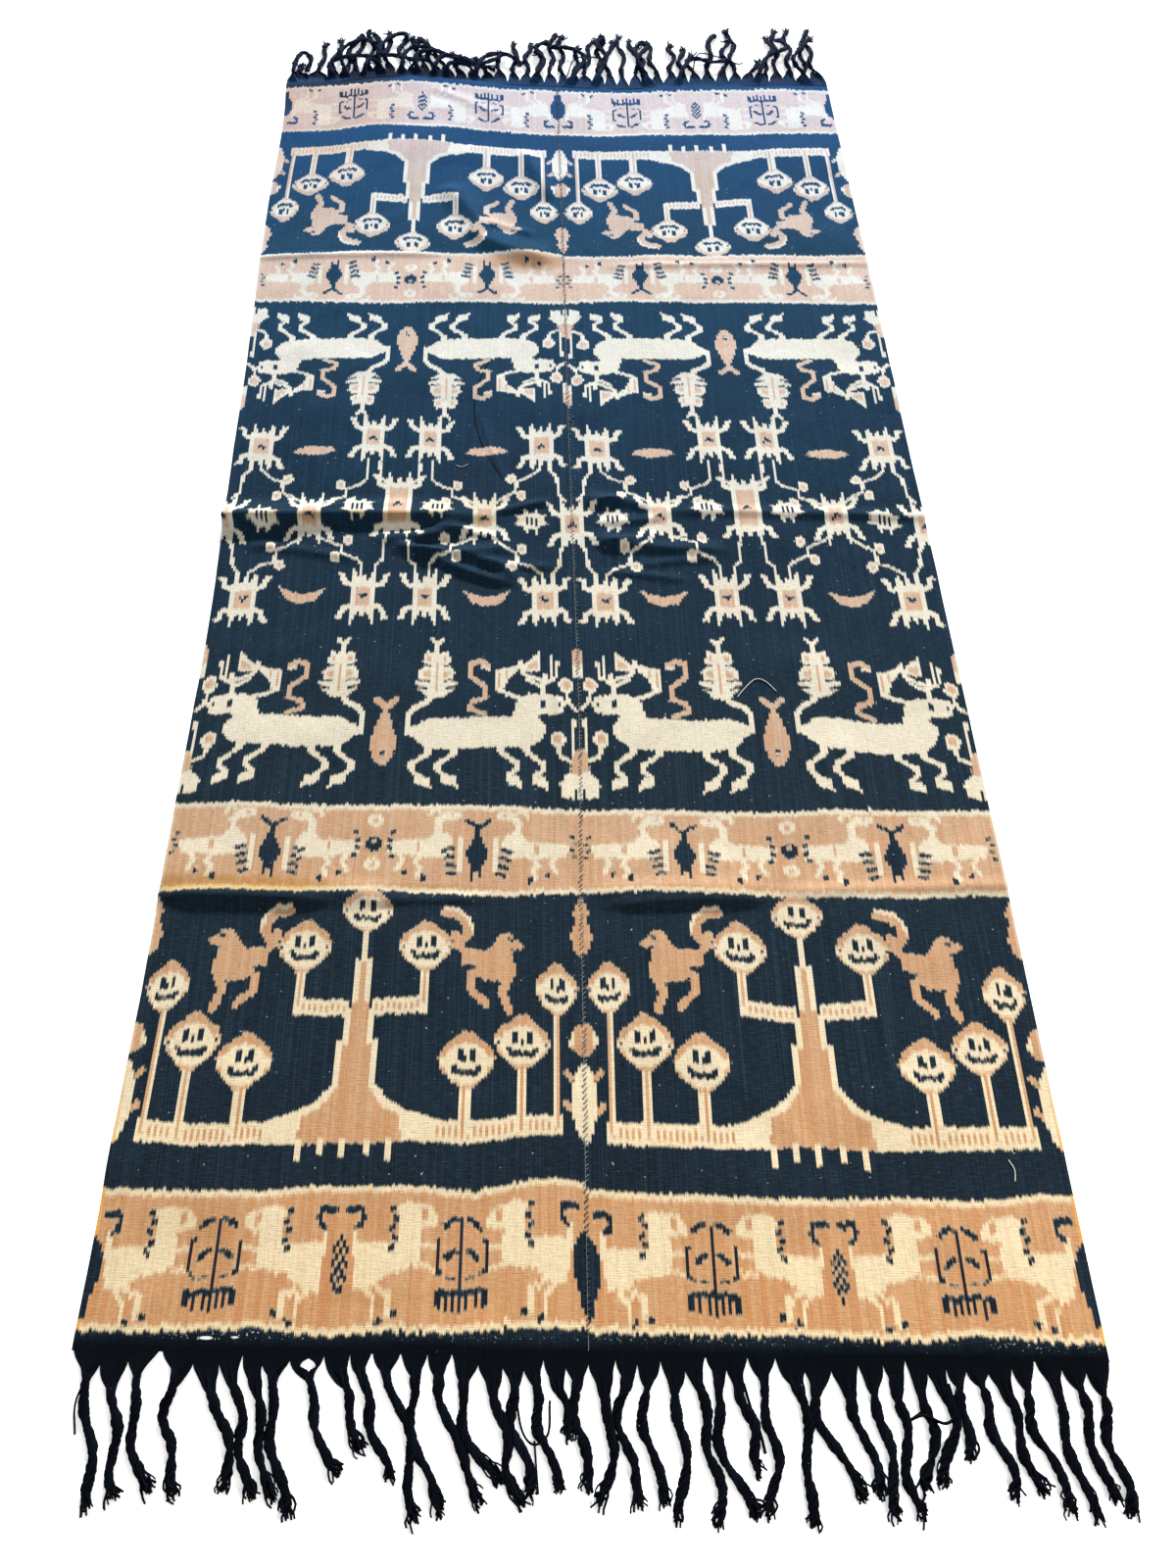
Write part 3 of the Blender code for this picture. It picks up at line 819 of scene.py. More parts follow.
def zigzag_leg(motif, u, way):
    """A thin cream leg that bends twice and ends in a pointed foot, the foot always forwards."""
    motif.bar(CREAM, u - 7, 20, u + 6, 36)
    motif.line(CREAM, 7.5, (u, 36), (u + way * 22, 52))
    motif.line(CREAM, 10, (u + way * 24, 53), (u + way * 25, 62))
    motif.line(CREAM, 7, (u + way * 22, 66), (u + way * 15, 73))
    shin = u + way * 13
    motif.line(CREAM, 10, (shin, 75), (shin, 82))
    motif.patch(
        CREAM, (shin - 4, 80), (shin + 7, 75), (shin + 17, 77), (shin + 21, 98), (shin + 13, 91),
        (shin, 89),
    )


def deer(motif):
    """A cream stag that looks out towards +u, a sprig at its neck and its tail grown into a tree."""
    motif.patch(
        CREAM, (-70, -26), (96, -27), (108, -16), (111, 0), (102, 16), (84, 27), (-50, 28), (-78, 22),
        (-92, 8), (-106, 2), (-98, -10),
    )
    motif.patch(
        CREAM, (58, -24), (66, -56), (84, -68), (114, -68), (136, -62), (142, -50), (136, -33),
        (120, -30), (104, -32), (96, -24),
    )
    motif.bar(DARK, 103, -56, 109, -43)
    motif.blob(DARK, 133, -48, 3, 4)
    motif.line(CREAM, 8, (107, -68), (110, -104))
    motif.line(CREAM, 6, (110, -88), (128, -100), (130, -128))
    motif.line(CREAM, 5, (122, -98), (122, -138))
    motif.line(CREAM, 7, (110, -92), (80, -104), (73, -112), (72, -130))
    motif.line(CREAM, 6, (108, -80), (82, -96))
    motif.patch(CREAM, (77, -112), (76, -124), (104, -152), (104, -112))
    motif.patch(TAN, (84, -116), (84, -124), (98, -134), (98, -116))
    motif.line(CREAM, 7, (80, -58), (52, -68), (38, -76))
    motif.patch(CREAM, (31, -74), (31, -116), (48, -118), (66, -124), (66, -112), (52, -98), (44, -74))
    motif.bar(TAN, 36, -112, 40, -82)
    motif.bar(TAN, 47, -114, 51, -98)
    zigzag_leg(motif, 82, 1)
    zigzag_leg(motif, 42, 1)
    zigzag_leg(motif, -28, -1)
    zigzag_leg(motif, -68, -1)
    motif.line(CREAM, 9, (-102, 0), (-103, -32), (-94, -44), (-76, -54), (-66, -68))
    tail_tree(motif, -62)


def tail_tree(motif, u):
    """The little tree of the stag's tail: tiers of leaves under a forked tip."""
    motif.bar(CREAM, u - 9, -146, u + 9, -66)
    for side in (-1, 1):
        motif.patch(
            CREAM, (u, -92), (u + side * 34, -94), (u + side * 30, -80), (u + side * 14, -66), (u, -64),
        )
        motif.patch(
            CREAM, (u, -122), (u + side * 20, -122), (u + side * 29, -112), (u + side * 27, -98),
            (u, -96),
        )
        motif.patch(
            TAN, (u + side * 9, -116), (u + side * 22, -112), (u + side * 20, -102),
            (u + side * 9, -100),
        )
        motif.patch(
            CREAM, (u, -146), (u + side * 17, -152), (u + side * 23, -132), (u + side * 18, -126),
            (u, -126),
        )
        motif.bar(TAN, u + side * 9, -142, u + side * 15, -132)
        motif.line(CREAM, 6, (u, -162), (u + side * 9, -176))
        motif.line(DARK, 6, (u + side * 16, -80), (u + side * 36, -86))
    motif.bar(TAN, u - 2.5, -128, u + 2.5, -74)
    motif.line(CREAM, 6, (u, -144), (u, -168))


def snake(motif):
    """A thin tan snake in two coils."""
    motif.line(TAN, 10, (15, -42), (2, -50), (-13, -44))
    motif.line(TAN, 8, (-14, -44), (-14, -22), (10, -2), (13, 20))
    motif.line(TAN, 8, (13, 20), (-10, 26), (-12, 40), (10, 50))
    motif.line(CREAM, 5, (16, -36), (4, -38))


def middle_fish(motif):
    """A plump tan fish, nose outwards."""
    motif.patch(
        TAN, (-5, -34), (-12, -14), (-18, 8), (-19, 28), (-14, 44), (-5, 57), (5, 57), (14, 44),
        (19, 28), (18, 8), (12, -14), (5, -34),
    )
    motif.line(TAN, 10, (-15, -58), (0, -42), (15, -58))
    motif.line(TAN, 9, (0, -44), (0, -28))
    motif.blob(DARK, 0, 38, 5, 6)
    motif.blob(CREAM, 0, 40, 2.2, 2.5)


def deer_field(warp, face):
    """Two stags to a loom width, back to back at the tan fish, with flowers at its edges."""
    for side in (-1, 1):
        deer(Motif(warp, side * 138, 420 * face, side, face))
        snake(Motif(warp, side * 143, 338 * face, side, face))
        edge = Motif(warp, side * SELVEDGE, 0, side, face)
        edge.line(CREAM, 6, (-18, 350), (-16, 368), (-4, 380))
        edge.line(CREAM, 5, (-4, 270), (-4, 320))
        edge.blob(TAN, 2, 282, 11, 20)
        edge.blob(CREAM, -19, 336, 11, 15)
        edge.blob(TAN, -19, 335, 7, 9)
        edge.blob(CREAM, -33, 434, 12, 14)
        edge.blob(TAN, -33, 433, 7, 8)
        edge.line(CREAM, 6, (-32, 448), (-30, 462), (-14, 470))
        edge.line(CREAM, 5, (-8, 400), (-10, 460))
        edge.patch(TAN, (20, 452), (-8, 452), (-14, 480), (-12, 504), (20, 504))
        edge.patch(CREAM, (20, 500), (-14, 486), (-30, 504), (-28, 524), (20, 532))
        edge.bar(DARK, -8, 512, -4, 540)
        edge.bar(DARK, 0, 508, 4, 540)
    middle_fish(Motif(warp, 0, 420 * face, 1, face))


def star(motif, half_u=21, half_w=27):
    """A cream star beast: a body with a tan heart, four bent arms and three points at either end."""
    for end in (-1, 1):
        root = end * half_w
        motif.patch(CREAM, (-7, root), (0, end * (half_w + 19)), (7, root))
        for side in (-1, 1):
            tip = (side * (half_u - 3), end * (half_w + 31))
            motif.patch(CREAM, (side * (half_u - 15), root), tip, (side * half_u, root))
            elbow = (side * (half_u + 11), end * (half_w - 1))
            hand = (side * (half_u + 15), end * (half_w + 15))
            motif.line(CREAM, 9, (side * (half_u - 4), end * (half_w - 8)), elbow, hand)
            motif.line(CREAM, 7, hand, (side * (half_u + 20), end * (half_w + 17)))
    motif.bar(CREAM, -half_u, -half_w - 4, half_u, half_w + 4)
    motif.bar(TAN, -half_u + 8, -half_w + 10, half_u - 8, half_w - 7)
    motif.line(DARK, 6, (-5, -4), (0, 3), (5, -2))


def beetle(motif):
    """A cream beetle with spikes about it and three dark strokes."""
    motif.blob(CREAM, 0, 0, 23, 17)
    for side in (-1, 1):
        motif.patch(CREAM, (side * 2, -8), (side * 15, -8), (side * 8, -30))
        motif.patch(CREAM, (side * 2, 8), (side * 15, 8), (side * 9, 28))
        motif.patch(CREAM, (side * 14, -12), (side * 30, -8), (side * 14, 4))
        motif.patch(CREAM, (side * 14, 12), (side * 28, 12), (side * 16, 0))
    for stroke in (-8, 0, 8):
        motif.bar(DARK, stroke - 2.4, -9, stroke + 2.4, 9)


def net_field(warp):
    """The middle field: a net of star beasts joined by thin budded lines."""
    for side in (-1, 1):
        for face in (-1, 1):
            half = Motif(warp, 0, 0, side, face)
            half.line(CREAM, 5, (246, 150), (246, 114), (228, 98), (206, 90), (204, 66), (186, 56), (166, 38))
            half.line(CREAM, 5, (56, 140), (56, 96), (68, 82), (92, 72), (94, 54), (114, 46), (134, 36))
            half.line(CREAM, 5, (36, 130), (34, 96), (22, 84), (20, 44))
            half.line(CREAM, 5, (262, 142), (264, 112), (276, 96), (278, 60), (290, 46))
            for u, w in ((214, 58), (196, 96), (82, 42), (102, 80)):
                half.blob(CREAM, u, w, 9, 11)
                half.blob(TAN, u, w, 4, 5)
            star(Motif(warp, side * 250, 167 * face, side, face))
            star(Motif(warp, side * 51, (190 if face > 0 else 160) * face, side, face))
            lens = Motif(warp, side * 154, 160 * face, side, face)
            if face > 0:
                lens.patch(TAN, (-38, -4), (-16, -10), (10, -10), (38, -2), (30, 6), (0, 10), (-30, 6))
            else:
                lens.patch(
                    TAN, (-40, -16), (-20, -6), (0, -2), (20, -8), (40, -18), (24, 8), (4, 16),
                    (-22, 12),
                )
        star(Motif(warp, side * 150, 6, side, 1))
        star(Motif(warp, side * SELVEDGE, -6, side, 1))
        beetle(Motif(warp, side * 230, 2, side, 1))
        beetle(Motif(warp, side * 68, 26, side, 1))
    star(Motif(warp, 0, 34, 1, 1), 23, 48)


def dyed_warp(side):
    """The whole design of one loom width."""
    warp = Warp(side)
    net_field(warp)
    for face in (-1, 1):
        deer_field(warp, face)
        edge_buds(warp, face)
        head_tree(warp, face)
        middle_band(warp, face)
        end_band(warp, face)
    warp.ink[np.abs(warp.v) > END_BAND[1]] = DARK
    return warp


def write_dye(mesh, warp, unit):
    """The dyes on a panel's face corners: reach of the light, reach of the tan, and its bundle's chance."""
    corners = np.zeros(len(mesh.loops), int)
    mesh.loops.foreach_get("vertex_index", corners)
    starts = np.zeros(len(mesh.polygons), int)
    counts = np.zeros(len(mesh.polygons), int)
    mesh.polygons.foreach_get("loop_start", starts)
    mesh.polygons.foreach_get("loop_total", counts)
    middles = np.add.reduceat(unit[corners, 0], starts) / counts
    column = np.clip(((middles + 0.5) * BUNDLES).astype(int), 0, BUNDLES - 1)
    column = np.repeat(column, counts)
    row = (unit[corners, 1] * 2 * CLOTH_HALF_LENGTH / MM + CHART_HALF).astype(int)
    row = np.clip(row, 0, 2 * CHART_HALF - 1)
    light = warp.reach(warp.ink != DARK)
    tan = warp.reach(warp.ink == TAN)
    bundle = np.random.default_rng(BUNDLE_SEED).uniform(0, 1, BUNDLES)
    bundle[0 if warp.side == "left" else -1] = GOLDEN_BUNDLE
    dye = np.stack([light[row, column], tan[row, column], bundle[column]], axis=1)
    layer = mesh.attributes.new("dye", "FLOAT_VECTOR", "CORNER")
    layer.data.foreach_set("vector", dye.ravel())


def cloth_slab():
    """A thin closed slab in unit sizes, its top split finer than its underside."""
    bm = bmesh.new()
    bmesh.ops.create_grid(bm, x_segments=CELLS_ACROSS, y_segments=CELLS_ALONG, size=0.5)
    lifted = bmesh.ops.extrude_face_region(bm, geom=bm.faces[:])["geom"]
    verts = [item for item in lifted if isinstance(item, bmesh.types.BMVert)]
    bmesh.ops.translate(bm, vec=(0, 0, 1), verts=verts)
    edges = {edge for item in lifted if isinstance(item, bmesh.types.BMFace) for edge in item.edges}
    bmesh.ops.subdivide_edges(bm, edges=list(edges), cuts=TOP_SPLITS - 1, use_grid_fill=True)
    bmesh.ops.recalc_face_normals(bm, faces=bm.faces[:])
    crisp_borders(bm)
    return bm


def crisp_borders(bm):
    """Keep the shading of a cloth's face apart from that of its thin sides."""
    for edge in bm.edges:
        if len(edge.link_faces) == 2 and edge.calc_face_angle() > BORDER_ANGLE:
            edge.smooth = False


def make_panel(side, material):
    """One loom width, its top a fine grid laid over the wrinkles."""
    bm = cloth_slab()
    mesh = bpy.data.meshes.new(f"cloth_{side}")
    bm.to_mesh(mesh)
    bm.free()
    unit = np.zeros(len(mesh.vertices) * 3)
    mesh.vertices.foreach_get("co", unit)
    unit = unit.reshape(-1, 3)
    v = unit[:, 1] * 2 * CLOTH_HALF_LENGTH
    low, high = panel_edges(side, v)
    x = mix(low, high, unit[:, 0] + 0.5)
    top = unit[:, 2] > 0.5
    place = np.stack([x, lay(x, v), cloth_height(x, v) + TOP_THICK], axis=1)
    place[~top, 2] = lowest_nearby(x[~top], v[~top])
    mesh.vertices.foreach_set("co", place.ravel())
    write_dye(mesh, dyed_warp(side), unit)
    mesh.update()
    mesh.shade_smooth()
    piece = new_piece(f"cloth_{side}", mesh, material)
    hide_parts(f"panel_{side}")
    return piece


def lowest_nearby(x, v):
    """The lowest height of the cloth within a cell of the underside, so that it stays under the top."""
    cell_x = LOOM_WIDTH * MM / CELLS_ACROSS
    cell_v = 2 * CLOTH_HALF_LENGTH / CELLS_ALONG
    heights = [
        cloth_height(x + cell_x * across / 2, v + cell_v * along / 2)
        for across in (-2, -1, 0, 1, 2)
        for along in (-2, -1, 0, 1, 2)
    ]
    return np.min(heights, axis=0)


def tassel_spans(tassels, low, high):
    """The x where each tassel's root starts and stops along its strip, side by side."""
    roots = [tassel.root * MM for tassel in tassels]
    middles = [(a + b) / 2 for a, b in zip(roots, roots[1:])]
    return list(zip([low] + middles, middles + [high]))


def tassel_path(tassel, end, chance):
    """The middle line of a tassel from its root: x, v and the distance along it at even steps."""
    reach = tassel.reach * MM + ROOT_DEPTH
    distance = np.linspace(0, reach, YARN_STEPS + 1)
    s = np.clip((distance - ROOT_DEPTH) / (reach - ROOT_DEPTH), 0, 1)
    x = (tassel.root + tassel.drift * s + tassel.bow * np.sin(np.pi * s)) * MM
    wave = chance.uniform(*WANDER_LENGTHS)
    phase = chance.uniform(0, 2 * np.pi)
    x = x + WANDER[end] * (np.sin(2 * np.pi * s * reach / wave + phase) - math.sin(phase)) * smooth(s * 2.0)
    return x, end * (ROOT_V + distance), distance


def fallen_path(fallen):
    """The same for a fallen tassel, as a smooth curve through its points."""
    points = np.array(fallen.points) * MM
    points[0, 1] -= ROOT_DEPTH
    return smooth_path(points)


def smooth_path(points):
    """A smooth curve through points: x, v and the distance along it."""
    padded = np.vstack([2 * points[0] - points[1], points, 2 * points[-1] - points[-2]])
    place = np.linspace(0, len(points) - 1 - 1e-6, YARN_STEPS + 1)
    first = place.astype(int)
    t = (place - first)[:, None]
    a, b, c, d = (padded[first + k] for k in range(4))
    curve = 0.5 * (2 * b + (c - a) * t + (2 * a - 5 * b + 4 * c - d) * t**2 + (3 * b - a - 3 * c + d) * t**3)
    steps = np.hypot(*np.diff(curve, axis=0).T)
    return curve[:, 0], curve[:, 1], np.concatenate([[0], np.cumsum(steps)])


def yarn_route(path, spread, slits, share, fan, chance, lift=0.0):
    """One yarn of a bundle about a path: flat beside its neighbours at the root, twisted, then frayed."""
    middle_x, middle_v, distance = path
    reach = distance[-1]
    slit = mix(slits[0], slits[1], share)
    fan = min(max(fan, slit + SHORTEST_FAN), reach * LONGEST_FAN_SHARE)
    twisted = smooth((distance - slit) / (fan - slit))
    along_x = np.gradient(middle_x)
    along_v = np.gradient(middle_v)
    length = np.hypot(along_x, along_v)
    end = np.sign(middle_v[0])
    side_x = mix(1.0, end * along_v / length, twisted)
    side_v = mix(0.0, -end * along_x / length, twisted)
    ply = int(share * PLIES)
    turn = 2 * np.pi * distance / TWIST_PITCH + np.pi * ply + slits[0] * PHASE_BY_SLIT
    own = 2 * np.pi * (share * PLIES - ply) + YARN_TURNS * turn + chance.uniform(-0.5, 0.5)
    swelling = 1 + SWELLING * np.sin(distance * SWELLING_RATE + slits[1] * SWELLING_BY_SLIT)
    depth = PLY_RADIUS * math.sqrt(chance.uniform(0.08, 1.0)) * swelling
    across = PLY_OFFSET * np.cos(turn) + depth * np.cos(own)
    height = CORD_FLATNESS * (PLY_OFFSET * np.sin(turn) + depth * np.sin(own))
    rooted = mix(spread[0], spread[1], share) + chance.uniform(-ROOT_UNEVEN, ROOT_UNEVEN)
    fray = chance.uniform(*FRAY_LENGTHS)
    frayed = smooth((distance - reach + fray) / fray)
    curl = np.sin(distance * chance.uniform(*CURL_RATES) + chance.uniform(0, 6)) * chance.uniform(*CURL_SIZES)
    offset = mix(rooted, across, twisted) + frayed * (chance.normal(0, FRAY_ASIDE) + curl)
    x = middle_x + side_x * offset
    v = middle_v + side_v * offset + end * frayed * chance.normal(0, FRAY_ALONG)
    rest = CORD_FLATNESS * (PLY_OFFSET + PLY_RADIUS) + YARN_RADIUS + lift
    z = mix(CLOTH_THICK * 0.6, rest + height, smooth((distance - slit * 0.5) / (fan - slit * 0.5)))
    z = mix(z, YARN_RADIUS + lift * 0.5 + abs(chance.normal(0, FRAY_UP)), frayed)
    rooted_radius = max(THINNEST_ROOT, ROOT_COVER * (spread[1] - spread[0]) / (ROOT_YARNS * 2 * YARN_RADIUS))
    radius = mix(rooted_radius, 1.0, twisted) * mix(1.0, FRAYED_RADIUS, frayed) * chance.uniform(0.85, 1.15)
    for hole in HOLES:
        if middle_v[0] * hole.v > 0:
            x = round_hole(hole, x, v)
    return np.stack([x, lay(x, v), z], axis=1), radius


def round_hole(hole, x, v):
    """The x of a yarn that is pushed aside by a worn hole, all of it to the one side."""
    lens = hole.half_x * np.clip(1 - ((v - hole.v) / hole.half_v) ** 2, 0, 1) ** HOLE_BLUNTNESS
    way = 1 if x[np.argmin(np.abs(v - hole.v))] > hole.x else -1
    return np.where(lens > 0, hole.x + way * np.maximum(way * (x - hole.x), lens), x)


def yarns_as_mesh(name, routes, thickness):
    """Many yarns at once: one poly curve with a spline each, bevelled to four sides, flat where they rest."""
    curve = bpy.data.curves.new(name, "CURVE")
    curve.dimensions = "3D"
    curve.bevel_depth = thickness
    curve.bevel_resolution = 0
    curve.use_fill_caps = True
    for points, radius in routes:
        spline = curve.splines.new("POLY")
        spline.points.add(len(points) - 1)
        spline.points.foreach_set("co", np.hstack([points, np.ones((len(points), 1))]).ravel())
        spline.points.foreach_set("radius", radius)
    holder = bpy.data.objects.new(name, curve)
    bpy.context.scene.collection.objects.link(holder)
    graph = bpy.context.evaluated_depsgraph_get()
    mesh = bpy.data.meshes.new_from_object(holder.evaluated_get(graph))
    bpy.data.objects.remove(holder)
    bpy.data.curves.remove(curve)
    bm = bmesh.new()
    bm.from_mesh(mesh)
    bmesh.ops.remove_doubles(bm, verts=bm.verts[:], dist=CAP_WELD)
    for vert in bm.verts:
        vert.co.z = max(vert.co.z, YARN_REST)
    bm.to_mesh(mesh)
    bm.free()
    return mesh


def add_strip(mesh, side, end, material):
    """The dark end of the weave, from the last of the pattern to just past the tassels' roots."""
    bm = bmesh.new()
    bm.from_mesh(mesh)
    columns, rows = STRIP_CELLS
    strip = bmesh.ops.create_grid(bm, x_segments=columns, y_segments=rows, size=0.5)["verts"]
    for vert in strip:
        share = vert.co.y + 0.5
        v = end * mix(CLOTH_HALF_LENGTH, ROOT_V + STRIP_OVERLAP, share)
        low, high = panel_edges(side, np.float64(v))
        x = float(mix(low, high, vert.co.x + 0.5))
        vert.co = Vector((x, float(lay(x, v)), float(cloth_height(x, v)) * mix(1.0, 0.5, share)))
    faces = list({face for vert in strip for face in vert.link_faces})
    lifted = bmesh.ops.extrude_face_region(bm, geom=faces)["geom"]
    upper = [item for item in lifted if isinstance(item, bmesh.types.BMVert)]
    bmesh.ops.translate(bm, vec=(0, 0, TOP_THICK), verts=upper)
    faces = list({face for vert in strip + upper for face in vert.link_faces})
    for face in faces:
        face.material_index = 1
    bmesh.ops.recalc_face_normals(bm, faces=faces)
    crisp_borders(bm)
    bm.to_mesh(mesh)
    bm.free()
    mesh.materials.append(material)
    undyed = np.tile((-EDGE_REACH, -EDGE_REACH, 0.5), len(mesh.loops))
    mesh.attributes.new("dye", "FLOAT_VECTOR", "CORNER").data.foreach_set("vector", undyed)


def tassel_routes(tassels, end, side, chance):
    """The yarns of a fringe's own tassels, side by side along its strip."""
    shares = yarn_shares(end)
    ends = map(float, panel_edges(side, np.float64(end * (CLOTH_HALF_LENGTH + STRIP_DEPTH))))
    slits = chance.uniform(*SLIT_STARTS[end], len(tassels) + 1)
    routes = []
    for number, (tassel, (start, stop)) in enumerate(zip(tassels, tassel_spans(tassels, *ends))):
        path = tassel_path(tassel, end, chance)
        fan = chance.uniform(*FAN_LENGTHS[end])
        spread = (start - tassel.root * MM, stop - tassel.root * MM)
        routes += [yarn_route(path, spread, slits[number:number + 2], share, fan, chance) for share in shares]
    return routes


def yarn_shares(end):
    """Where each yarn of a tassel starts, from 0 at one side of its root to 1 at the other."""
    count = PLIES * YARNS_A_PLY[end]
    return (np.arange(count) + 0.5) / count


def fallen_routes(end, side, chance):
    """The yarns of the tassels that have fallen over their neighbours at the far end."""
    routes = []
    for fallen in FALLEN:
        if end > 0 and fallen.side == side:
            path = fallen_path(fallen)
            slits = chance.uniform(*FALLEN_SLITS, 2)
            routes += [
                yarn_route(path, FALLEN_SPREAD, slits, share, FALLEN_FAN, chance, FALLEN_LIFT)
                for share in yarn_shares(end)
            ]
    return routes


def strand_routes(end, side):
    """The single yarns that have come loose from one fringe."""
    routes = []
    for strand in STRANDS:
        if strand.end == end and strand.side == side:
            x, v, distance = smooth_path(np.array(strand.points) * MM)
            rise = strand.rise * MM * np.sin(np.pi * distance / distance[-1]) + YARN_RADIUS
            routes.append((np.stack([x, lay(x, v), rise], axis=1), np.full(len(x), strand.width)))
    return routes


def make_fringe(name, tassels, end, side, yarn, cloth):
    """The dark end strip with its tassels of twisted warp yarn, some of them fallen sideways."""
    chance = np.random.default_rng(sum(ord(letter) for letter in name))
    routes = tassel_routes(tassels, end, side, chance)
    routes += fallen_routes(end, side, chance)
    routes += strand_routes(end, side)
    mesh = yarns_as_mesh(name, routes, YARN_RADIUS)
    piece = new_piece(f"yarn_{name}", mesh, yarn)
    add_strip(mesh, side, end, cloth)
    mesh.shade_smooth()
    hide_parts(name)
    return piece


def make_seam(material):
    """Slanting stitches that hold the two loom widths edge to edge, and a few loose ends of pale thread."""
    chance = np.random.default_rng(STITCH_SEED)
    bend = np.linspace(-1, 1, STITCH_POINTS)
    last = CLOTH_HALF_LENGTH - STITCH_INSET
    routes = []
    for v in np.arange(-last, last, STITCH_STEP):
        v = v + chance.normal(0, 0.0009)
        middle = float(edge_x(SEAM, v)) + chance.normal(0.0006, 0.0005)
        reach = STITCH_REACH * chance.uniform(0.7, 1.25)
        x = middle + bend * reach * 0.75
        place = v + bend * reach * chance.uniform(0.6, 1.0)
        z = cloth_height(x, place) + TOP_THICK + STITCH_RISE * (1 - bend**2) - STITCH_SINK
        routes.append((np.stack([x, lay(x, place), z], axis=1), np.full(len(bend), chance.uniform(0.8, 1.2))))
    for points in LOOSE_THREADS:
        x, v, _ = smooth_path(np.array(points) * MM)
        z = cloth_height(x, v) + TOP_THICK + THREAD_LIFT
        routes.append((np.stack([x, lay(x, v), z], axis=1), np.full(len(x), THREAD_WIDTH)))
    mesh = yarns_as_mesh("seam_stitches", routes, STITCH_RADIUS)
    mesh.shade_smooth()
    return new_piece("seam_stitches", mesh, material)


def math_operator(operation, reflected=False):
    """A Signal's operator that adds one Math node of two values."""
    def operator(self, other):
        first, second = (other, self) if reflected else (self, other)
        return self.finish.node("ShaderNodeMath", {"operation": operation}, {0: first, 1: second})
    return operator


class Signal:
    """A shader socket on which arithmetic adds Math nodes."""

    def __init__(self, finish, socket):
        self.finish = finish
        self.socket = socket

    __add__ = math_operator("ADD")
    __radd__ = math_operator("ADD", reflected=True)
    __sub__ = math_operator("SUBTRACT")
    __rsub__ = math_operator("SUBTRACT", reflected=True)
    __mul__ = math_operator("MULTIPLY")
    __rmul__ = math_operator("MULTIPLY", reflected=True)
    __truediv__ = math_operator("DIVIDE")

    def __abs__(self):
        return self.finish.node("ShaderNodeMath", {"operation": "ABSOLUTE"}, {0: self})

    def within(self, low, high):
        """Ease from 0 at low to 1 at high."""
        return self.finish.node(
            "ShaderNodeMapRange",
            {"interpolation_type": "SMOOTHSTEP"},
            {"Value": self, "From Min": low, "From Max": high},
        )


class Finish:
    """A material whose nodes are made through one method."""

    def __init__(self, name, roughness):
        self.material = bpy.data.materials.new(name)
        self.material.use_nodes = True
        self.tree = self.material.node_tree
        self.shader = self.tree.nodes["Principled BSDF"]
        self.shader.inputs["Roughness"].default_value = roughness

    def feed(self, socket, value):
        """Link a signal to a socket, or set the socket's own value."""
        if isinstance(value, Signal):
            self.tree.links.new(value.socket, socket)
        elif hasattr(value, "__len__") and len(value) == 3 and len(socket.default_value) == 4:
            socket.default_value = (*value, 1.0)
        else:
            socket.default_value = value

    def node(self, kind, settings=None, inputs=None, output=0):
        """One more node, as the signal that it gives out."""
        node = self.tree.nodes.new(kind)
        for name, value in (settings or {}).items():
            setattr(node, name, value)
        for key, value in (inputs or {}).items():
            self.feed(node.inputs[key], value)
        return Signal(self, node.outputs[output])

    def place(self):
        """Object coordinates as three signals."""
        return self.parts(self.node("ShaderNodeTexCoord", output="Object"))

    def parts(self, vector):
        """The three numbers of a vector as signals."""
        return [self.node("ShaderNodeSeparateXYZ", inputs={0: vector}, output=axis) for axis in "XYZ"]

    def point(self, x, y, z=0.0):
        return self.node("ShaderNodeCombineXYZ", inputs={0: x, 1: y, 2: z})

    def noise(self, point, scale=1.0, detail=2.0, roughness=0.5):
        values = {"Vector": point, "Scale": scale, "Detail": detail, "Roughness": roughness}
        return self.node("ShaderNodeTexNoise", inputs=values)

    def ramp(self, value, *stops):
        """Seen colours at values from 0 to 1, changing evenly from stop to stop."""
        node = self.tree.nodes.new("ShaderNodeValToRGB")
        elements = node.color_ramp.elements
        while len(elements) < len(stops):
            elements.new(0.5)
        for element, (position, color) in zip(elements, stops):
            element.position = position
            element.color = (*seen(*color), 1.0)
        self.feed(node.inputs["Fac"], value)
        return Signal(self, node.outputs["Color"])

    def blend(self, share, first, second, how="MIX"):
        """The first colour with a share of the second laid over it."""
        settings = {"data_type": "RGBA", "blend_type": how}
        return self.node("ShaderNodeMix", settings, {0: share, 6: first, 7: second}, output=2)

    def bump(self, height, distance, strength=1.0):
        values = {"Height": height, "Distance": distance, "Strength": strength}
        return self.node("ShaderNodeBump", inputs=values)


def seen(red, green, blue):
    """The scene-linear dye that looks like an sRGB colour of 0 to 255 under the studio light."""
    shares = [value / 255 for value in (red, green, blue)]
    return tuple((s / 12.92 if s <= 0.04045 else ((s + 0.055) / 1.055) ** 2.4) / LIGHT_GAIN for s in shares)


def weave_v(x, y):
    """The place along the warp at a place in the model, far slack aside."""
    return y + x * SKEW - WEAVE_MIDDLE_Y


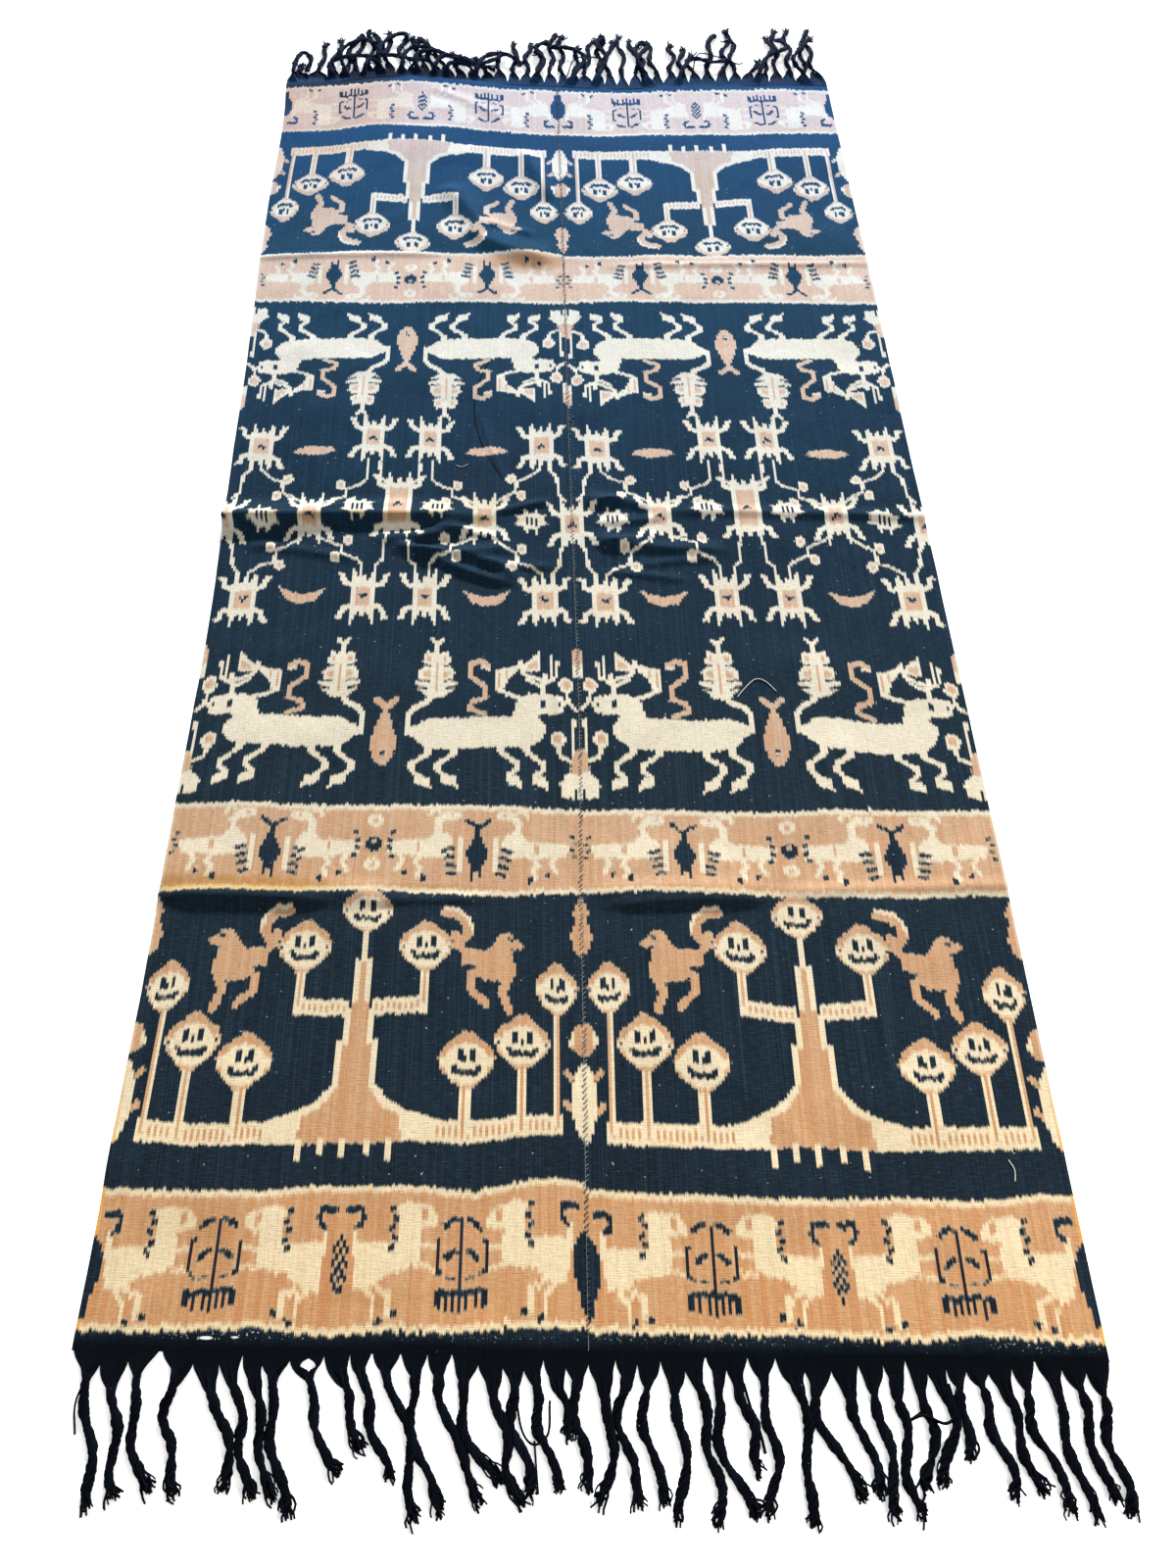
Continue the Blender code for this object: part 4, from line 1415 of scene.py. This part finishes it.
class Weave:
    """Places on the cloth as signals, with the noises that the parts of its finish share."""

    def __init__(self, finish):
        self.finish = finish
        self.x, y, _ = finish.place()
        self.v = weave_v(self.x, y)
        self.threads = self.noise(900, 60, 0.0, 3, 0.6)
        self.streaks = self.noise(420, 3.0, 3.0, 3, 0.6)
        self.blotches = self.noise(7, 4, 9.0, 3, 0.55)
        self.warp_grain = self.noise(620, 90, 5.0, 2, 0.6)
        self.weft_grain = self.noise(70, 620, 7.0, 2, 0.6)
        # Place from the near end to the far end for the colour ramps, which paint far-end sheen as well as
        # real fading
        self.along = self.v / FADE_AND_SHEEN_LENGTH + 0.5 + (self.blotches - 0.5) * 0.12

    def noise(self, scale_x, scale_v, layer, detail, roughness=0.5):
        """Noise with its own scales across and along the warp; each layer is another noise."""
        point = self.finish.point(self.x * scale_x, self.v * scale_v, layer)
        return self.finish.noise(point, detail=detail, roughness=roughness)

    def gap(self, spot):
        """How far a place is from the middle of a stain or hole, 1 at its edge."""
        across = (self.x - spot.x) / spot.half_x
        along = (self.v - spot.v) / spot.half_v
        return across * across + along * along


def tuck_shadow(weave):
    """The painted shadow of a thin bowed tuck in the left width: 1 on its line, 0 beside it."""
    bend = weave.v - 0.230
    gap = abs(bend * bend * 1.786 - bend * 0.132 - 0.165 - weave.x)
    run = weave.v.within(0.07, 0.12) * (1.0 - weave.v.within(0.40, 0.44))
    return (1.0 - gap.within(0.0011, 0.0024)) * run


def dark_dye(finish, weave):
    """Indigo, bluer towards the far end (partly real fading, partly painted sheen), with faded streaks, lint,
    a painted tuck shadow, worn flecks, painted shade on the far-left corner and dark ends.
    """
    # Painted light: this ramp, like the streaks' ramp after it, paints the far end brighter and bluer as
    # sheen, besides real fading
    color = finish.ramp(weave.along, *DARK_FADE_AND_SHEEN)
    faded = finish.ramp(weave.along, *FADED_FADE_AND_SHEEN)
    color = finish.blend((weave.streaks - 0.4).within(0.0, 0.4) * 0.25, color, faded)
    color = finish.blend((weave.weft_grain - 0.42).within(0.0, 0.3) * 0.16, color, faded)
    lint = (weave.noise(150, 150, 2.0, 1) - 0.76).within(0.0, 0.02)
    color = finish.blend(lint * 0.5, color, seen(190, 194, 190))
    # Painted shadow: the tuck's line darkened nearly to black
    color = finish.blend(tuck_shadow(weave) * 0.9, color, seen(2, 5, 10))
    flecks = (weave.noise(300, 260, 4.0, 2) - 0.645).within(0.0, 0.01)
    for spot in WORN:
        near = 1.0 - weave.gap(spot).within(0.4, 1.0)
        color = finish.blend(flecks * near * spot.share, color, seen(225, 230, 228))
    # Painted shade: the far-left corner of the dark field is darkened
    painted_shade_corner = (-0.30 - weave.x + (weave.blotches - 0.5) * 0.2).within(0.0, 0.16) * weave.v.within(1.10, 1.22)
    color = finish.blend(painted_shade_corner * 0.75, color, seen(18, 28, 44))
    near_end = (-1.238 - weave.v + (weave.blotches - 0.5) * 0.02).within(0.0, 0.022)
    return finish.blend(near_end * 0.92, color, seen(1, 5, 12))


def light_dyes(finish, weave, tan, bundle):
    """Tan and cream warp, worn into each other and stained, with a golden selvedge at the near end; paler
    towards the far end, partly from real fading and partly from painted sheen.
    """
    # Painted light: the tan and cream ramps paint the far end paler and bluer as sheen, besides real fading
    tan_color = finish.ramp(weave.along, *TAN_FADE_AND_SHEEN)
    cream_color = finish.ramp(weave.along, *CREAM_FADE_AND_SHEEN)
    worn = (weave.streaks - 0.35).within(0.0, 0.4) * 0.34
    tan_color = finish.blend(worn, tan_color, finish.blend(1.0, tan_color, (0.70, 0.62, 0.55), "MULTIPLY"))
    tan_color = finish.blend(bundle * 0.20, tan_color, cream_color)
    cream_color = finish.blend((weave.streaks - 0.4).within(0.0, 0.4) * 0.30, cream_color, tan_color)
    color = finish.blend(tan, cream_color, tan_color)
    color = finish.blend(1.0, color, soiling(finish, weave), "MULTIPLY")
    golden = (bundle - 1.2).within(0.0, 0.2) * (-0.85 - weave.v).within(0.0, 0.25)
    return finish.blend(golden * 0.8, color, seen(226, 160, 62))


def soiling(finish, weave):
    """What the stains leave of the cloth's colour."""
    left = (1.0, 1.0, 1.0)
    ragged = (weave.blotches - 0.5) * 1.6 + (weave.threads - 0.5) * 0.5
    for stain in STAINS:
        share = (1.0 - (weave.gap(stain) + ragged)).within(0.0, 1.0) * stain.share
        left = finish.blend(share, left, stain.tint)
    return left


def cloth_finish():
    """Warp-faced cotton: dyed bundles with feathered edges, streaks, weave, and fading that is partly painted
    far-end sheen, with painted shade along a tuck and on the far-left corner.
    """
    finish = Finish("ikat_cloth", 0.95)
    weave = Weave(finish)
    dye = finish.node("ShaderNodeAttribute", {"attribute_name": "dye"}, output="Vector")
    light_reach, tan_reach, bundle = finish.parts(dye)
    feather = (weave.threads - 0.5) * FEATHER
    light = (light_reach + feather).within(-2.2, 2.2)
    tan = (tan_reach + feather * 1.2).within(-3.4, 3.4)
    color = finish.blend(light, dark_dye(finish, weave), light_dyes(finish, weave, tan, bundle))
    shade = (weave.warp_grain + weave.weft_grain - 1.0) * 0.55 + 1.0
    color = finish.blend(1.0, color, finish.point(shade, shade, shade), "MULTIPLY")
    finish.feed(finish.shader.inputs["Base Color"], color)
    cover = 1.0
    for hole in HOLES:
        cover = (weave.gap(hole) + (weave.threads - 0.5) * 0.9).within(0.9, 1.0) * cover
    finish.feed(finish.shader.inputs["Alpha"], cover)
    height = weave.weft_grain * 1.2 + weave.warp_grain * 1.4 + weave.streaks * 0.8
    finish.feed(finish.shader.inputs["Normal"], finish.bump(height, YARN_RELIEF, 0.7))
    finish.feed(finish.shader.inputs["Sheen Weight"], 0.025)
    finish.feed(finish.shader.inputs["Sheen Roughness"], 0.5)
    finish.feed(finish.shader.inputs["Sheen Tint"], (0.5, 0.85, 1.0))
    finish.feed(finish.shader.inputs["Specular IOR Level"], COTTON_SPECULAR)
    return finish.material


def yarn_finish():
    """Near-black twisted cotton, bluer and a little faded at the far end: partly real fading and partly
    painted light, the far yarn painted brighter where its backlit sides lie in shade, with painted blue
    highlights on its fibres.
    """
    finish = Finish("fringe_yarn", 0.92)
    x, y, z = finish.place()
    v = weave_v(x, y)
    fibres = finish.noise(finish.point(x * 900, y * 500, z * 900), detail=2)
    ragged = finish.noise(finish.point(x * 30, y * 12), detail=2) - 0.5
    along = y / FADE_AND_SHEEN_LENGTH + 0.5
    far_end = v.within(0.0, 0.1)
    near_roots = (v + NEAR_ROOTS_V + ragged * 0.03).within(0.0, 0.02) * (1.0 - far_end)
    far_roots = (FAR_ROOTS_V + ragged * 0.02 - v).within(0.0, 0.012) * far_end
    # Painted light: the far yarn is painted brighter and bluer than its shaded sides would show, besides real
    # fading
    color = finish.ramp(along, *YARN_FADE_AND_LIGHT)
    # Painted highlight: blue glints on the fibres, stronger towards the far end
    lit = (fibres - 0.5).within(0.0, 0.35) * along.within(0.0, 1.6) * 0.75
    color = finish.blend(lit, color, finish.ramp(along, *PAINTED_HIGHLIGHT_RAMP))
    color = finish.blend(ragged.within(0.0, 0.3) * 0.15, color, seen(36, 48, 70))
    color = finish.blend(near_roots, color, seen(5, 11, 19))
    color = finish.blend(far_roots, color, seen(38, 74, 118))
    finish.feed(finish.shader.inputs["Base Color"], color)
    finish.feed(finish.shader.inputs["Normal"], finish.bump(fibres, YARN_RELIEF, 0.6))
    finish.feed(finish.shader.inputs["Specular IOR Level"], COTTON_SPECULAR)
    return finish.material


def stitch_finish():
    """Sewing thread that has taken up dye in the tan bands and lost it in the dark fields."""
    finish = Finish("seam_thread", 0.9)
    x, y, _ = finish.place()
    v = weave_v(x, y)
    distance = abs(v)
    middle_band = distance.within(0.540, 0.550) * (1 - distance.within(0.680, 0.690))
    bands = middle_band + distance.within(1.080, 1.090)
    wear = finish.noise(finish.point(x * 3, v * 60), detail=2)
    pale = finish.blend((wear - 0.4).within(0.0, 0.3), seen(112, 122, 126), seen(52, 66, 80))
    pale = finish.blend(abs(x).within(0.016, 0.020), pale, seen(236, 232, 216))
    color = finish.blend(bands, pale, seen(38, 40, 50))
    finish.feed(finish.shader.inputs["Base Color"], color)
    return finish.material


def make_floor():
    """A pale floor, evenly lit, for the renders alone."""
    bm = bmesh.new()
    bmesh.ops.create_grid(bm, x_segments=1, y_segments=1, size=9)
    mesh = bpy.data.meshes.new("floor")
    bm.to_mesh(mesh)
    bm.free()
    floor = bpy.data.objects.new("floor", mesh)
    floor.location.z = -0.0005
    bpy.context.scene.collection.objects.link(floor)
    finish = Finish("pale_floor", 0.9)
    finish.feed(finish.shader.inputs["Base Color"], (0.92, 0.92, 0.92))
    finish.feed(finish.shader.inputs["Emission Color"], (1.0, 1.0, 1.0))
    finish.feed(finish.shader.inputs["Emission Strength"], 0.5)
    finish.feed(finish.shader.inputs["Specular IOR Level"], 0.1)
    mesh.materials.append(finish.material)


def make_lights():
    """An even sky, a low sun from beyond the far end and a warm fill at the near end."""
    world = bpy.data.worlds.new("studio")
    world.use_nodes = True
    background = world.node_tree.nodes["Background"]
    background.inputs["Color"].default_value = (1.0, 1.0, 1.0, 1.0)
    background.inputs["Strength"].default_value = SKY_STRENGTH
    bpy.context.scene.world = world
    sun = bpy.data.lights.new("key_light", "SUN")
    sun.energy = SUN_STRENGTH
    sun.angle = SUN_WIDTH
    sun.color = (0.93, 0.97, 1.0)
    aim_light(sun, SUN_PLACE, (0.0, 0.0, 0.0))
    fill = bpy.data.lights.new("fill_light", "AREA")
    fill.size = FILL_SIZE
    fill.energy = FILL_POWER
    fill.color = (1.0, 0.95, 0.88)
    aim_light(fill, FILL_PLACE, FILL_TARGET)


def aim_light(light, place, target):
    """Hang a light at a place, turned to a target."""
    holder = bpy.data.objects.new(light.name, light)
    holder.location = place
    holder.rotation_euler = (Vector(target) - Vector(place)).to_track_quat("-Z", "Y").to_euler()
    bpy.context.scene.collection.objects.link(holder)


def make_camera():
    """The camera, over the near end, looking down along the throw."""
    level = math.cos(CAMERA_PITCH)
    ahead = Vector((math.sin(CAMERA_YAW) * level, math.cos(CAMERA_YAW) * level, -math.sin(CAMERA_PITCH)))
    right = ahead.cross(Vector((0, 0, 1))).normalized()
    upward = right.cross(ahead)
    turned_right = math.cos(CAMERA_ROLL) * right + math.sin(CAMERA_ROLL) * upward
    turned_up = math.cos(CAMERA_ROLL) * upward - math.sin(CAMERA_ROLL) * right
    data = bpy.data.cameras.new("camera")
    data.lens = CAMERA_LENS
    data.sensor_fit = "VERTICAL"
    data.sensor_height = 36.0
    camera = bpy.data.objects.new("camera", data)
    axes = Matrix((turned_right, turned_up, -ahead)).transposed().to_4x4()
    camera.matrix_world = Matrix.Translation(CAMERA_PLACE) @ axes
    bpy.context.scene.collection.objects.link(camera)
    bpy.context.scene.camera = camera
    bpy.context.scene.view_settings.view_transform = "Standard"


def make_throw():
    """All pieces of the throw: the two loom widths, their fringes and the seam stitches."""
    cloth = cloth_finish()
    yarn = yarn_finish()
    stitches = stitch_finish()
    panels = {side: make_panel(side, cloth) for side in ("left", "right")}
    fringes = {
        "left": [
            make_fringe("fringe_near_left", NEAR_LEFT, -1, "left", yarn, cloth),
            make_fringe("fringe_far_left", FAR_LEFT, 1, "left", yarn, cloth),
        ],
        "right": [
            make_fringe("fringe_near_right", NEAR_RIGHT, -1, "right", yarn, cloth),
            make_fringe("fringe_far_right", FAR_RIGHT, 1, "right", yarn, cloth),
        ],
    }
    fringes["left"].append(make_seam(stitches))


make_floor()
make_lights()
make_camera()
make_throw()
